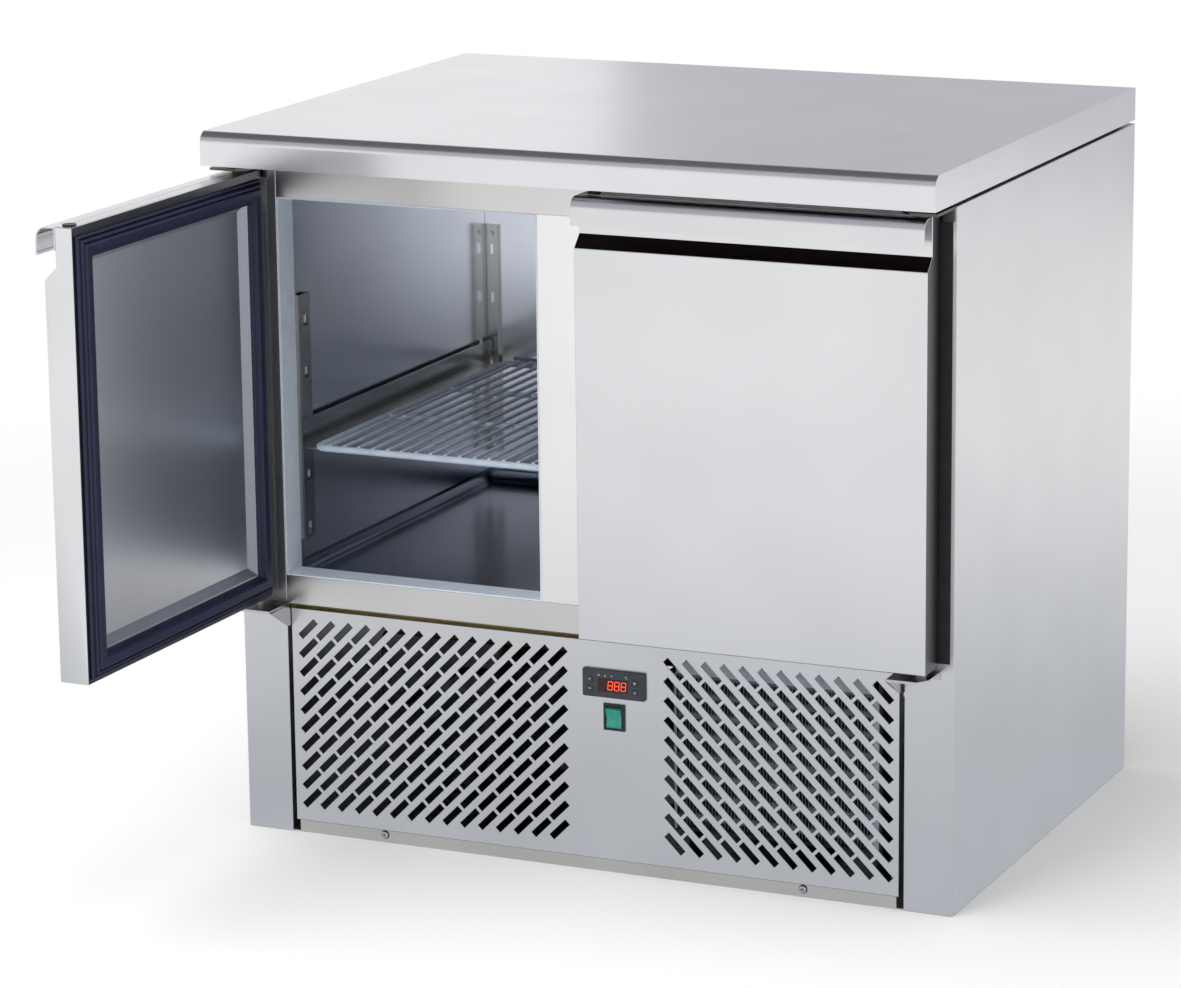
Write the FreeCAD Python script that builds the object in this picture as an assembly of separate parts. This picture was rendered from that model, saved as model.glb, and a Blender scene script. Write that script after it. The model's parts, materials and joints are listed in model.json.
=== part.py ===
import FreeCAD, Part
import math
import os

V = FreeCAD.Vector
os.makedirs("parts", exist_ok=True)

# ---- driving sizes, mm: X to the right, Y to the back, Z up, origin on the floor at the centre of the footprint ----
WIDTH = 900.0            # overall, side to side
DEPTH = 700.0            # overall, front to back
HEIGHT = 856.0           # floor to worktop
TOP_THICK = 39.3         # worktop edge height
TOP_GAP = 4.2            # shadow gap between worktop and body
TOP_NOSE = 13.2          # radius of the worktop's front edge
SETBACK = 71.0           # body front behind the worktop's front edge
POST = 59.0              # width of each front post
SHEET = 1.0              # stainless sheet
WALL = 50.0              # insulated wall, skin to liner
SEAT = 0.3               # gap between neighbouring pieces that are fixed together
RUN = 0.05               # radial running clearance of pins and shafts

FRONT = -DEPTH / 2 + SETBACK
BACK = DEPTH / 2
HALF = WIDTH / 2
BODY_TOP = HEIGHT - TOP_THICK - TOP_GAP
POST_IN = HALF - POST    # inner edge of each post

# front frame and openings
POST_LAP = 2.0                   # reveal strip's step inside the post
MULLION = 116.0                  # width of the middle upright
OPEN_BOT = 320.0                 # height of the sill
TOP_RAIL = 41.7                  # height of the top rail
BOTTOM_RAIL = 36.0               # height of the bottom rail
OPEN_OUT = POST_IN - POST_LAP    # outer edge of a door opening
OPEN_IN = MULLION / 2            # inner edge of a door opening
OPEN_TOP = BODY_TOP - TOP_RAIL
RAIL_BOT = OPEN_BOT - BOTTOM_RAIL
REVEAL = 1.7                     # thermal-break strip round each opening
REVEAL_DEEP = 36.0
FRAME_BACK = FRONT + REVEAL_DEEP

# cold room
BACK_WALL = 54.0
SILL = 12.0                      # sill stands this far above the floor pan
FLOOR_FOAM = 46.0
COVE = 15.0
LINER_X = HALF - WALL
LINER_Y = BACK - BACK_WALL
FLOOR_Z = OPEN_BOT - SILL
CEILING = OPEN_TOP + 0.4
DECK_Z = FLOOR_Z - FLOOR_FOAM    # underside of the floor insulation

# doors, drawn closed
DOOR_THICK = 36.0
DOOR_IN_X = 11.0                 # free edge, from the middle
DOOR_SIDE = 17.5                 # hinge edge, in from the side of the body
DOOR_HEAD = 7.5                  # top edge, below the top of the body
DOOR_SHOE = 8.0                  # bottom edge, above the underside of the bottom rail
GASKET_THICK = 10.0
DOOR_OUT_X = HALF - DOOR_SIDE
DOOR_TOP = BODY_TOP - DOOR_HEAD
DOOR_BOT = RAIL_BOT + DOOR_SHOE
DOOR_BACK = FRONT - GASKET_THICK
DOOR_FRONT = DOOR_BACK - DOOR_THICK
RECESS = 15.0                    # depth of the grip recess and its 45 degree slope
RECESS_TALL = 59.5               # door's top edge down to the foot of that slope
GRIP_OUT = 10.0                  # grip stands this far in front of the door
GRIP_TALL = 32.0
RECESS_BOT = DOOR_TOP - RECESS_TALL
GRIP_BOT = DOOR_TOP - GRIP_TALL
GRIP_R = 13.0
GRIP_SHEET = 1.5
GASKET_INSET = 5.0
GASKET_INSET_TOP = 10.0
GASKET_WIDE = 27.0
GASKET_R = 7.5
DISH_IN = 34.0                   # start of the inner panel's pressed slope, from the door edge
DISH_DEEP = 8.0
DISH_SLOPE = 10.0
LIP = 14.0                       # skin returned round the back of the door
PIN_EDGE = 14.5                  # hinge pin from the door's hinge edge
PIN_BACK = 11.0                  # hinge pin from the door's back
PIN_R = 4.0
BUSH_R = 7.0
BUSH_LONG = 16.0
LEFT_OPEN = 90.5                 # the left door stands open by this many degrees
PIN_X = DOOR_OUT_X - PIN_EDGE
PIN_Y = DOOR_BACK - PIN_BACK

# shelf supports
UPRIGHT_HEAD = 125.8             # top of a support strip, below the top of the opening
UPRIGHT_FOOT = 40.0              # foot of a support strip, above the floor pan
UPRIGHT_W = 25.0
UPRIGHT_D = 6.0
UPRIGHT_BEHIND = 33.5            # middle of the front strips, behind the door frame
HOLE_PITCH = 63.0
HOLE_HEAD = 25.0                 # first hook hole, below the top of the strip
HOLE_TALL = 14.0
HOLE_WIDE = 10.0
UPRIGHT_TOP = OPEN_TOP - UPRIGHT_HEAD
UPRIGHT_BOT = FLOOR_Z + UPRIGHT_FOOT
UPRIGHT_FRONT_Y = FRAME_BACK + UPRIGHT_BEHIND
POST_HALF = 9.0                  # half the width of the centre supports
EVAP_W, EVAP_H, EVAP_D = 220.0, 190.0, 62.0
EVAP_HEAD = 20.8                 # top of the evaporator unit, below the top of the opening
EVAP_Z = OPEN_TOP - EVAP_HEAD - EVAP_H
SHELF_LEVEL = 153.0 / 252.0      # shelf's place between the floor pan and the evaporator unit
RUNNER_Z = FLOOR_Z + SHELF_LEVEL * (EVAP_Z - FLOOR_Z)
RUNNER_H = 34.0
RUNNER_T = 1.5
RUNNER_UNDER = 6.6               # outer runner reaches this far under the shelf
RUNNER_UNDER_IN = 14.0           # so does the inner one
SHELF_PASS = 3.0                 # shelf clears the inner edge of the opening
SHELF_PASS_OUT = 17.0            # and the outer edge, where the door's seal turns
SHELF_BACK = 9.0                 # gap behind the shelf
SHELF_X0, SHELF_X1 = OPEN_IN + SHELF_PASS, OPEN_OUT - SHELF_PASS_OUT
SHELF_Y0, SHELF_Y1 = FRAME_BACK, LINER_Y - SHELF_BACK
FRAME_WIRE = 4.0                 # radius of the shelf's border wire
WIRE = 2.3                       # radius of the shelf's infill wires
WIRE_COUNT = 15

# machine compartment front
GRILLE_GAP = 6.0                 # gap between the grille panel and its posts and rail
GRILLE_BOT = 16.0
GRILLE_X = POST_IN - GRILLE_GAP
GRILLE_TOP = RAIL_BOT - GRILLE_GAP
SCREW_IN, SCREW_Z, SCREW_R = 117.0, 9.5, 4.6
SCREW_X = GRILLE_X - SCREW_IN

# controls
CTRL_X, CTRL_Z, CTRL_W, CTRL_H = 35.1, 229.2, 78.5, 33.6
CTRL_PROUD = 4.0
WIN_W, WIN_H, WIN_X, WIN_Z = 37.0, 14.4, 34.4, 227.6
KEY_W, KEY_H, KEY_XS, KEY_ZS = 7.0, 5.4, (5.6, 62.4), (233.4, 222.4)
KEY_PROUD = 0.9
SW_X, SW_Z, SW_W, SW_H = 34.6, 189.2, 26.5, 32.0
SW_CASE = 11.0                   # half the width of the switch body behind the panel
ROCKER_W, ROCKER_H, ROCKER_TILT = 18.6, 22.6, 7.0
TRUNNION_R, TRUNNION_OUT = 1.5, 1.3

# slot fields, as many columns and rows as fit beside the controls and above the kick strip
SLOT_LONG, SLOT_WIDE = 29.2, 8.4
SLOT_PITCH = 23.3
SLOT_HEAD = 23.8                 # top row, below the top of the panel
SLOT_FOOT = 26.0
SLOT_LEFT_IN, SLOT_RIGHT_IN = 21.4, 19.3
SLOT_CLEAR = 14.0                # panel left plain beside the controls
SLOT_TOP_Z = GRILLE_TOP - SLOT_HEAD
SLOT_ROWS = int((SLOT_TOP_Z - GRILLE_BOT - SLOT_FOOT) / SLOT_PITCH) + 1
LEFT_SLOT_X = -GRILLE_X + SLOT_LEFT_IN
LEFT_SLOTS = int((CTRL_X - CTRL_W / 2 - SLOT_CLEAR - LEFT_SLOT_X) / SLOT_PITCH) + 1
RIGHT_END_X = GRILLE_X - SLOT_RIGHT_IN
RIGHT_SLOTS = int((RIGHT_END_X - CTRL_X - CTRL_W / 2 - SLOT_CLEAR) / SLOT_PITCH) + 1
RIGHT_SLOT_X = RIGHT_END_X - (RIGHT_SLOTS - 1) * SLOT_PITCH

# machinery
COND_SIDE, COND_CLEAR, COND_FOOT, COND_HEAD = 28.0, 25.65, 56.0, 2.0
COND_BEHIND, COND_DEEP = 21.0, 60.0
COND_X1 = GRILLE_X - COND_SIDE
COND_X0 = CTRL_X + CTRL_W / 2 + COND_CLEAR
COND_Z0, COND_Z1 = COND_FOOT, DECK_Z - COND_HEAD
COND_Y = FRONT + COND_BEHIND
FIN_PITCH, FIN_T = 4.0, 1.0
FAN_R, FAN_OFF = 88.0, 2.5
FAN_X, FAN_Z = (COND_X0 + COND_X1) / 2 - FAN_OFF, (COND_Z0 + COND_Z1) / 2 + 1
COMP_IN, COMP_BACK, COMP_R, COMP_H = 240.0, 260.0, 78.0, 165.0
COMP_X, COMP_Y = -HALF + COMP_IN, BACK - COMP_BACK
GLAND_IN, GLAND_Z, GLAND_R, GLAND_NECK_R, GLAND_BORE = 120.0, 60.0, 11.0, 8.0, 4.2
GLAND_X = HALF - GLAND_IN


def box(x0, x1, y0, y1, z0, z1):
    """Box between two corners given in any order."""
    x, y, z = sorted((x0, x1)), sorted((y0, y1)), sorted((z0, z1))
    return Part.makeBox(x[1] - x[0], y[1] - y[0], z[1] - z[0], V(x[0], y[0], z[0]))


def face_of(points):
    """Flat face from a closed list of points."""
    return Part.Face(Part.makePolygon([V(*p) for p in points + points[:1]]))


def prism_x(points, x0, x1):
    """Profile of (y, z) points, pushed along X."""
    return face_of([(x0, y, z) for y, z in points]).extrude(V(x1 - x0, 0, 0))


def prism_z(points, z0, z1):
    """Profile of (x, y) points, pushed along Z."""
    return face_of([(x, y, z0) for x, y in points]).extrude(V(0, 0, z1 - z0))


def rod(x, y, z, r, length, axis):
    """Cylinder from a start point along an axis vector."""
    return Part.makeCylinder(r, length, V(x, y, z), V(*axis))


def fuse(*shapes):
    """One solid from several touching ones."""
    out = shapes[0]
    for shape in shapes[1:]:
        out = out.fuse(shape)
    return out.removeSplitter()


def mirrored(shape, side):
    """The right-hand piece for side 1, its mirror image for side -1."""
    return shape if side > 0 else shape.mirror(V(0, 0, 0), V(1, 0, 0))


def edges_where(shape, test):
    """Edges whose every point passes a test."""
    return [e for e in shape.Edges if all(test(p) for p in (e.valueAt(e.FirstParameter),
                                                           e.valueAt(e.LastParameter), e.CenterOfMass))]


def near(a, b):
    return abs(a - b) < 1e-4


def save(name, *solids):
    """Write one node; a group of separate solids stays a group."""
    shape = solids[0] if len(solids) == 1 else Part.makeCompound(list(solids))
    shape.exportStep("parts/" + name + ".step")


# ---------------------------------------------------------------- worktop
def worktop():
    """Folded stainless lid: rounded front edge, square sides, lips turned in underneath."""
    bottom = HEIGHT - TOP_THICK
    skin = box(-HALF, HALF, -BACK, BACK, bottom, HEIGHT)
    skin = skin.makeFillet(TOP_NOSE, edges_where(skin, lambda p: near(p.y, -BACK) and near(p.z, HEIGHT)))
    t = SHEET + 0.2
    hollow = box(-HALF + t, HALF - t, -BACK + t, BACK - t, bottom + t, HEIGHT - t)
    hollow = hollow.makeFillet(TOP_NOSE - t, edges_where(
        hollow, lambda p: near(p.y, -BACK + t) and near(p.z, HEIGHT - t)))
    mouth = box(-HALF + 14, HALF - 14, -BACK + 14, BACK - 14, bottom - 1, bottom + t + 1)
    save("worktop", skin.cut(hollow).cut(mouth))
    save("worktop_core", box(-HALF + 15, HALF - 15, FRONT + 17, BACK - 15,
                             BODY_TOP + SEAT, HEIGHT - t - SEAT))


# ---------------------------------------------------------------- body shell
def body_plan(y0):
    """Outline inside the two side panels, stepped round the posts, from a front line back."""
    x, step, y1, wide = POST_IN - SEAT, FRAME_BACK + SEAT, BACK - SHEET - SEAT, HALF - SHEET - SEAT
    return [(-x, y0), (x, y0), (x, step), (wide, step), (wide, y1), (-wide, y1), (-wide, step), (-x, step)]


def side_panel(side, name):
    """Outer skin folded round into the front post and a narrow rear return."""
    pts = [(POST_IN, FRONT), (HALF, FRONT), (HALF, BACK), (HALF - 25, BACK), (HALF - 25, BACK - SHEET),
           (HALF - SHEET, BACK - SHEET), (HALF - SHEET, FRONT + SHEET), (POST_IN + SHEET, FRONT + SHEET),
           (POST_IN + SHEET, FRAME_BACK), (POST_IN, FRAME_BACK)]
    save(name, mirrored(prism_z(pts, 0, BODY_TOP), side))


def back_panel():
    """Rear skin with two banks of cooling slots behind the machine compartment."""
    x = HALF - 25 - SEAT
    panel = box(-x, x, BACK - SHEET, BACK, 2, BODY_TOP)
    slots = []
    for cx in (-190, 190):
        for row in range(9):
            z = 60 + row * 18
            slots.append(box(cx - 110, cx + 110, BACK - 3, BACK + 1, z, z + 6))
    gland = rod(GLAND_X, BACK - 3, GLAND_Z, GLAND_NECK_R + SEAT, 5, (0, 1, 0))
    save("back_panel", panel.cut(Part.makeCompound(slots)).cut(gland))


def insulation():
    """Foam boards behind the liner on five sides; the front is the door frame."""
    out, inn = HALF - SHEET - SEAT, LINER_X + SHEET + SEAT
    top, y0, y1 = BODY_TOP - 2 * SHEET, FRAME_BACK + SHEET, BACK - SHEET - SEAT
    back0 = LINER_Y + SHEET + SEAT
    sides = [box(s * inn, s * out, y0, y1, DECK_Z + SEAT, top) for s in (-1, 1)]
    mid = inn - SEAT
    save("insulation", *sides,
         box(-mid, mid, back0, y1, DECK_Z + SEAT, top),
         box(-mid, mid, y0, back0 - SEAT, CEILING + SHEET + SEAT, top),
         box(-mid, mid, y0, back0 - SEAT, DECK_Z + SEAT, FLOOR_Z - SHEET - SEAT))


def liners():
    """Polished inner walls, ceiling and a coved floor pan."""
    wall_bot = FLOOR_Z + COVE + SEAT
    front = FRAME_BACK + SHEET
    for side, name in ((-1, "liner_left"), (1, "liner_right")):
        pts = [(OPEN_OUT + SEAT, front), (LINER_X + SHEET, front), (LINER_X + SHEET, LINER_Y + SHEET),
               (LINER_X, LINER_Y + SHEET), (LINER_X, front + SHEET), (OPEN_OUT + SEAT, front + SHEET)]
        save(name, mirrored(prism_z(pts, wall_bot, CEILING + SHEET), side))
    x = LINER_X - SEAT
    save("liner_back", box(-x, x, LINER_Y, LINER_Y + SHEET, wall_bot, CEILING - SEAT))
    save("liner_ceiling", box(-x, x, front + SHEET + SEAT, LINER_Y + SHEET, CEILING, CEILING + SHEET))
    xo, yo = LINER_X + SHEET, LINER_Y + SHEET

    def tray(x, y0, y1, z, r):
        b = box(-x, x, y0, y1, z, FLOOR_Z + COVE)
        return b.makeFillet(r, edges_where(b, lambda p: near(p.z, z) and (near(abs(p.x), x) or near(p.y, y1))))
    outer = tray(xo, FRAME_BACK + SHEET, yo, FLOOR_Z - SHEET, COVE + SHEET - 0.01)
    inner = tray(LINER_X, FRAME_BACK + 2 * SHEET, LINER_Y, FLOOR_Z, COVE - 0.01)
    trim = box(-xo - 1, xo + 1, FRAME_BACK, FRAME_BACK + 2 * SHEET, OPEN_BOT - REVEAL - SEAT, FLOOR_Z + COVE + 1)
    save("floor_pan", outer.cut(inner).cut(trim))


def front_frame():
    """Rails, middle upright and the thermal-break strips lining both openings."""
    x = POST_IN - SEAT
    z = OPEN_TOP + REVEAL + SEAT
    top = BODY_TOP - SHEET - SEAT
    save("top_rail", prism_x([(FRONT, z), (FRAME_BACK, z), (FRAME_BACK, z + SHEET), (FRONT + SHEET, z + SHEET),
                              (FRONT + SHEET, top - SHEET), (FRONT + 17, top - SHEET), (FRONT + 17, top),
                              (FRONT, top)], -x, x))
    z = OPEN_BOT - REVEAL - SEAT
    save("bottom_rail", prism_x([(FRONT, RAIL_BOT), (FRONT + 17, RAIL_BOT), (FRONT + 17, RAIL_BOT + SHEET),
                                 (FRONT + SHEET, RAIL_BOT + SHEET), (FRONT + SHEET, z - SHEET),
                                 (FRAME_BACK, z - SHEET), (FRAME_BACK, z), (FRONT, z)], -x, x))
    m = OPEN_IN - REVEAL - SEAT
    z0, z1 = OPEN_BOT - REVEAL, OPEN_TOP + REVEAL
    save("center_mullion", box(-m, m, FRONT, FRAME_BACK, z0, z1).cut(
        box(-m + SHEET, m - SHEET, FRONT + SHEET, FRAME_BACK - SHEET, z0 - 1, z1 + 1)))
    rings = [box(s * (OPEN_IN - REVEAL), s * (OPEN_OUT + REVEAL), FRONT, FRAME_BACK, z0, z1).cut(
        box(s * OPEN_IN, s * OPEN_OUT, FRONT - 1, FRAME_BACK + 1, OPEN_BOT, OPEN_TOP)) for s in (-1, 1)]
    save("opening_reveals", *rings)
    save("top_deck", prism_z(body_plan(FRONT + SHEET + SEAT), BODY_TOP - SHEET, BODY_TOP))


# ---------------------------------------------------------------- shelf supports
def slotted(shape, cut_of):
    """A support strip with its row of hook holes."""
    count = int((UPRIGHT_TOP - HOLE_HEAD - HOLE_TALL - UPRIGHT_BOT) / HOLE_PITCH) + 1
    zs = [UPRIGHT_TOP - HOLE_HEAD - HOLE_PITCH * n for n in range(count)]
    return shape.cut(Part.makeCompound([cut_of(z) for z in zs if z < shape.BoundBox.ZMax - 10]))


def uprights():
    """Pressed support strips on the side walls, the back wall and both faces of the centre line."""
    x, z0, z1 = LINER_X - SEAT, UPRIGHT_BOT, UPRIGHT_TOP
    y, w, h, t = UPRIGHT_FRONT_Y, UPRIGHT_W / 2, HOLE_WIDE / 2, 1.5
    strips = []
    for s in (-1, 1):
        d = x - UPRIGHT_D
        c = [(d, y - w), (d, y + w), (x, y + w), (x, y + w - t),
             (d + t, y + w - t), (d + t, y - w + t), (x, y - w + t), (x, y - w)]
        front = slotted(prism_z(c, z0, z1), lambda z: box(d - 1, d + 3, y - h, y + h, z - HOLE_TALL, z))
        r = LINER_Y - SEAT
        c = [(x, r), (x - 19, r), (x - 19, r - UPRIGHT_D), (x - 17.5, r - UPRIGHT_D), (x - 17.5, r - 1.5),
             (x - 1.5, r - 1.5), (x - 1.5, r - UPRIGHT_D), (x, r - UPRIGHT_D)]
        rear = slotted(prism_z(c, z0, z1), lambda z: box(x - 12, x - 6, r - 4, r + 1, z - HOLE_TALL, z))
        strips += [mirrored(front, s), mirrored(rear, s)]
    save("wall_uprights", *strips)
    p = POST_HALF
    posts = []
    for y, bot, top in ((UPRIGHT_FRONT_Y, FLOOR_Z + SEAT, CEILING - SEAT),
                        (LINER_Y - SEAT - w, FLOOR_Z + COVE + SEAT, EVAP_Z - SEAT)):
        tube = box(-p, p, y - w, y + w, bot, top).cut(
            box(-p + t, p - t, y - w + t, y + w - t, bot - 1, top + 1))
        posts.append(slotted(tube, lambda z: box(-p - 1, p + 1, y - h, y + h, z - HOLE_TALL, z)))
    save("center_uprights", *posts)


def runners():
    """Angle runners hung on the supports; each pair carries one shelf."""
    y0, y1 = UPRIGHT_FRONT_Y - 16, LINER_Y - UPRIGHT_D - 2 * SEAT
    z0, z1, t = RUNNER_Z, RUNNER_Z + RUNNER_H, RUNNER_T
    for s, name in ((-1, "left_runners"), (1, "right_runners")):
        a = LINER_X - UPRIGHT_D - 2 * SEAT
        b = POST_HALF + SEAT
        pair = []
        for wall, way, tip in ((a, -1, SHELF_X1 - RUNNER_UNDER), (b, 1, SHELF_X0 + RUNNER_UNDER_IN)):
            c = [(wall, z0), (wall, z1), (wall + way * t, z1), (wall + way * t, z0 + t), (tip, z0 + t), (tip, z0)]
            ang = face_of([(px, y0, pz) for px, pz in c]).extrude(V(0, y1 - y0, 0))
            pair.append(mirrored(ang, s))
        save(name, *pair)


def shelf(side, name):
    """Coated wire grid: rounded border wire, front-to-back wires on three cross wires."""
    r, x0, x1 = FRAME_WIRE, SHELF_X0 + FRAME_WIRE, SHELF_X1 - FRAME_WIRE
    y0, y1 = SHELF_Y0 + r, SHELF_Y1 - r
    z = RUNNER_Z + RUNNER_T + SEAT + r
    c = 12.0
    corner = [((x0 + c, y0 + c), 180, 270), ((x1 - c, y0 + c), 270, 360),
              ((x1 - c, y1 - c), 0, 90), ((x0 + c, y1 - c), 90, 180)]
    edges = []
    for (cx, cy), a0, a1 in corner:
        edges.append(Part.makeCircle(c, V(cx, cy, z), V(0, 0, 1), a0, a1))
    ends = [(e.valueAt(e.FirstParameter), e.valueAt(e.LastParameter)) for e in edges]
    path = []
    for n, e in enumerate(edges):
        path += [e, Part.makeLine(ends[n][1], ends[(n + 1) % 4][0])]
    start = ends[0][0]
    ring = Part.Wire([Part.makeCircle(r, start, V(0, 1, 0))])
    border = Part.Wire(path).makePipeShell([ring], True, False)
    cross = [rod(x0, y, z, r - 0.8, x1 - x0, (1, 0, 0)) for y in (y0 + 0.36 * (y1 - y0), y0 + 0.68 * (y1 - y0))]
    step = (x1 - x0) / (WIRE_COUNT + 1)
    bars = [rod(x0 + step * (n + 1), y0, z + r - 0.4, WIRE, y1 - y0, (0, 1, 0)) for n in range(WIRE_COUNT)]
    save(name, mirrored(border.multiFuse(cross + bars), side))


# ---------------------------------------------------------------- doors
def closed_door(side):
    """Pieces of one closed door: skin, grip, core, inner panel, gasket, bushes and plugs."""
    x0, x1, z0, z1 = DOOR_IN_X, DOOR_OUT_X, DOOR_BOT, DOOR_TOP
    f, b, t = DOOR_FRONT, DOOR_BACK, SHEET

    def body(o):
        k = o * (math.sqrt(2) - 1)
        step = [(f + o, z0 + o), (f + o, RECESS_BOT - k), (f + o + RECESS, RECESS_BOT + RECESS - k),
                (f + o + RECESS, z1 - o), (b - o, z1 - o), (b - o, z0 + o)]
        return prism_x(step, x0 + o, x1 - o)
    window = box(x0 + LIP, x1 - LIP, b - 2 * t, b + 1, z0 + LIP, z1 - LIP - 6)
    bores = []
    for x in (x1 - PIN_EDGE, x0 + PIN_EDGE):
        bores.append(rod(x, PIN_Y, z1 - BUSH_LONG, BUSH_R, BUSH_LONG + 1, (0, 0, 1)))
    bores.append(rod(x1 - PIN_EDGE, PIN_Y, z0 - 1, BUSH_R, BUSH_LONG + 1, (0, 0, 1)))
    wells = Part.makeCompound([w.copy() for w in bores])

    def dish(grow, y0, y1):
        d, s = DISH_IN - grow, DISH_SLOPE
        return Part.Shape(Part.makeWedge(x0 + d + s, y0, z0 + d + s, z0 + d, x0 + d,
                                         x1 - d - s, y1, z1 - d - s, z1 - d, x1 - d))
    skin = body(0).cut(body(t)).cut(window).cut(wells)
    core = body(t + SEAT).cut(wells).cut(dish(t + SEAT, b - DISH_DEEP - t - SEAT, b + SEAT))
    plate = box(x0 + LIP + SEAT, x1 - LIP - SEAT, b - t, b, z0 + LIP + SEAT, z1 - LIP - 6 - SEAT)
    panel = plate.fuse(dish(t, b - DISH_DEEP - t, b)).cut(dish(0, b - DISH_DEEP, b + 0.001)).cut(wells)
    core = core.cut(box(x0 + LIP, x1 - LIP, b - t - SEAT, b, z0 + LIP, z1 - LIP - 6))

    gi, gt, g1 = GASKET_INSET, GASKET_INSET_TOP, FRONT - SEAT
    seal = box(x0 + gi, x1 - gi, b + SEAT, g1, z0 + gi, z1 - gt)
    seal = seal.makeFillet(GASKET_R, edges_where(seal, lambda p: near(p.y, g1)))
    hole = box(x0 + gi + GASKET_WIDE, x1 - gi - GASKET_WIDE, b, g1 + 1,
               z0 + gi + GASKET_WIDE, z1 - gt - GASKET_WIDE)
    seal = seal.cut(hole)

    g0, q, gs = f - GRIP_OUT, GRIP_SHEET, f + RECESS - SEAT
    top, r = z1 - SEAT, GRIP_R
    s = math.sqrt(0.5)

    def arc(y, z, rad, flip):
        a, m, e = V(0, y - rad, z), V(0, y - rad * s, z + rad * s), V(0, y, z + rad)
        return Part.Arc(e, m, a).toShape() if flip else Part.Arc(a, m, e).toShape()

    def seg(*p):
        return [Part.makeLine(V(0, *p[n]), V(0, *p[n + 1])) for n in range(len(p) - 1)]
    cy, cz = g0 + r, top - r
    loop = seg((gs, top), (cy, top)) + [arc(cy, cz, r, True)] + seg(
        (g0, cz), (g0 - 0.8, GRIP_BOT), (g0 + 1.8, GRIP_BOT), (g0 + 1.8, GRIP_BOT + 3), (g0 + q - 0.6, GRIP_BOT + 3),
        (g0 + q, cz)) + [arc(cy, cz, r - q, False)] + seg(
        (cy, top - q), (gs - q, top - q), (gs - q, top - 26), (gs, top - 26), (gs, top))
    grip = Part.Face(Part.Wire(Part.__sortEdges__(loop))).extrude(V(x1 - x0 - 1, 0, 0))
    grip.translate(V(x0 + 0.5, 0, 0))

    bushes = []
    for z, out in ((z1 - BUSH_LONG + SEAT, 1), (z0, -1)):
        sleeve = rod(PIN_X, PIN_Y, z, BUSH_R - SEAT, BUSH_LONG - SEAT, (0, 0, 1))
        bushes.append(sleeve.cut(rod(PIN_X, PIN_Y, z - 1 if out < 0 else z + 2, PIN_R + RUN, BUSH_LONG - 2,
                                     (0, 0, 1))))
    plug = rod(x0 + PIN_EDGE, PIN_Y, z1 - BUSH_LONG + SEAT, BUSH_R - SEAT, BUSH_LONG - SEAT, (0, 0, 1)).fuse(
        rod(x0 + PIN_EDGE, PIN_Y, z1 + SEAT / 2, BUSH_R + 0.8, 1.6, (0, 0, 1))).fuse(
        rod(x0 + PIN_EDGE, PIN_Y, z1 - 1, BUSH_R - 2, 2, (0, 0, 1)))
    return {"skin": [skin], "grip": [grip], "core": [core], "panel": [panel], "gasket": [seal],
            "bushes": bushes + [plug]}


def doors():
    """The right door shut and the left door turned open about its own pins."""
    for side, prefix in ((-1, "left_door_"), (1, "right_door_")):
        for part, solids in closed_door(side).items():
            placed = []
            for solid in solids:
                piece = mirrored(solid, side)
                if side < 0:
                    piece.rotate(V(-PIN_X, PIN_Y, 0), V(0, 0, 1), -LEFT_OPEN)
                placed.append(piece)
            save(prefix + part, *placed)


def hinges():
    """Top and bottom brackets, each with its pin; the bottom ones have a down-turned gusset."""
    y = FRONT - SEAT
    tops, bottoms = [], []
    for s in (-1, 1):
        z0, z1 = BODY_TOP - 3.2, BODY_TOP - 0.2
        plate = prism_z([(PIN_X - 17, y), (PIN_X - 17, PIN_Y - 22), (PIN_X - 4, PIN_Y - 34),
                         (HALF - 3, PIN_Y - 34), (HALF - 3, y)], z0, z1)
        flange = box(PIN_X - 17, HALF - 3, y - 2.5, y, z0 - 14, z0 + 0.5)
        pin = rod(PIN_X, PIN_Y, DOOR_TOP - 12, PIN_R, z0 + 1 - DOOR_TOP + 12, (0, 0, 1))
        tops.append(mirrored(fuse(plate, flange, pin), s))
        z1 = DOOR_BOT - 6.5
        z0 = z1 - 3.0
        plate = prism_z([(POST_IN - 5, y), (POST_IN - 3, PIN_Y - 30), (DOOR_OUT_X - 8, PIN_Y - 30),
                         (DOOR_OUT_X + 1, PIN_Y - 14), (DOOR_OUT_X + 1, y)], z0, z1)
        gusset = prism_x([(y, z1), (PIN_Y - 28, z1), (y - 6, z0 - 25), (y, z0 - 25)], POST_IN - 5, POST_IN - 2)
        back = box(POST_IN - 5, DOOR_OUT_X + 1, y - 2.5, y, z0 - 25, z1)
        pin = rod(PIN_X, PIN_Y, z0 + 1, PIN_R, DOOR_BOT + 12 - z0 - 1, (0, 0, 1))
        washer = rod(PIN_X, PIN_Y, z1 - 0.5, 7.0, DOOR_BOT - z1 + 0.5 - SEAT, (0, 0, 1))
        bottoms.append(mirrored(fuse(plate, gusset, back, pin, washer), s))
    save("top_hinges", *tops)
    save("bottom_hinges", *bottoms)


# ---------------------------------------------------------------- machine compartment
def slot(x, z, lean):
    """One square-ended slot, leaning 45 degrees to the right (1) or left (-1)."""
    c = box(-SLOT_LONG / 2, SLOT_LONG / 2, FRONT - 1, FRONT + SHEET + 1, -SLOT_WIDE / 2, SLOT_WIDE / 2)
    c.rotate(V(0, 0, 0), V(0, 1, 0), -45 * lean)
    c.translate(V(x, 0, z))
    return c


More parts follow.
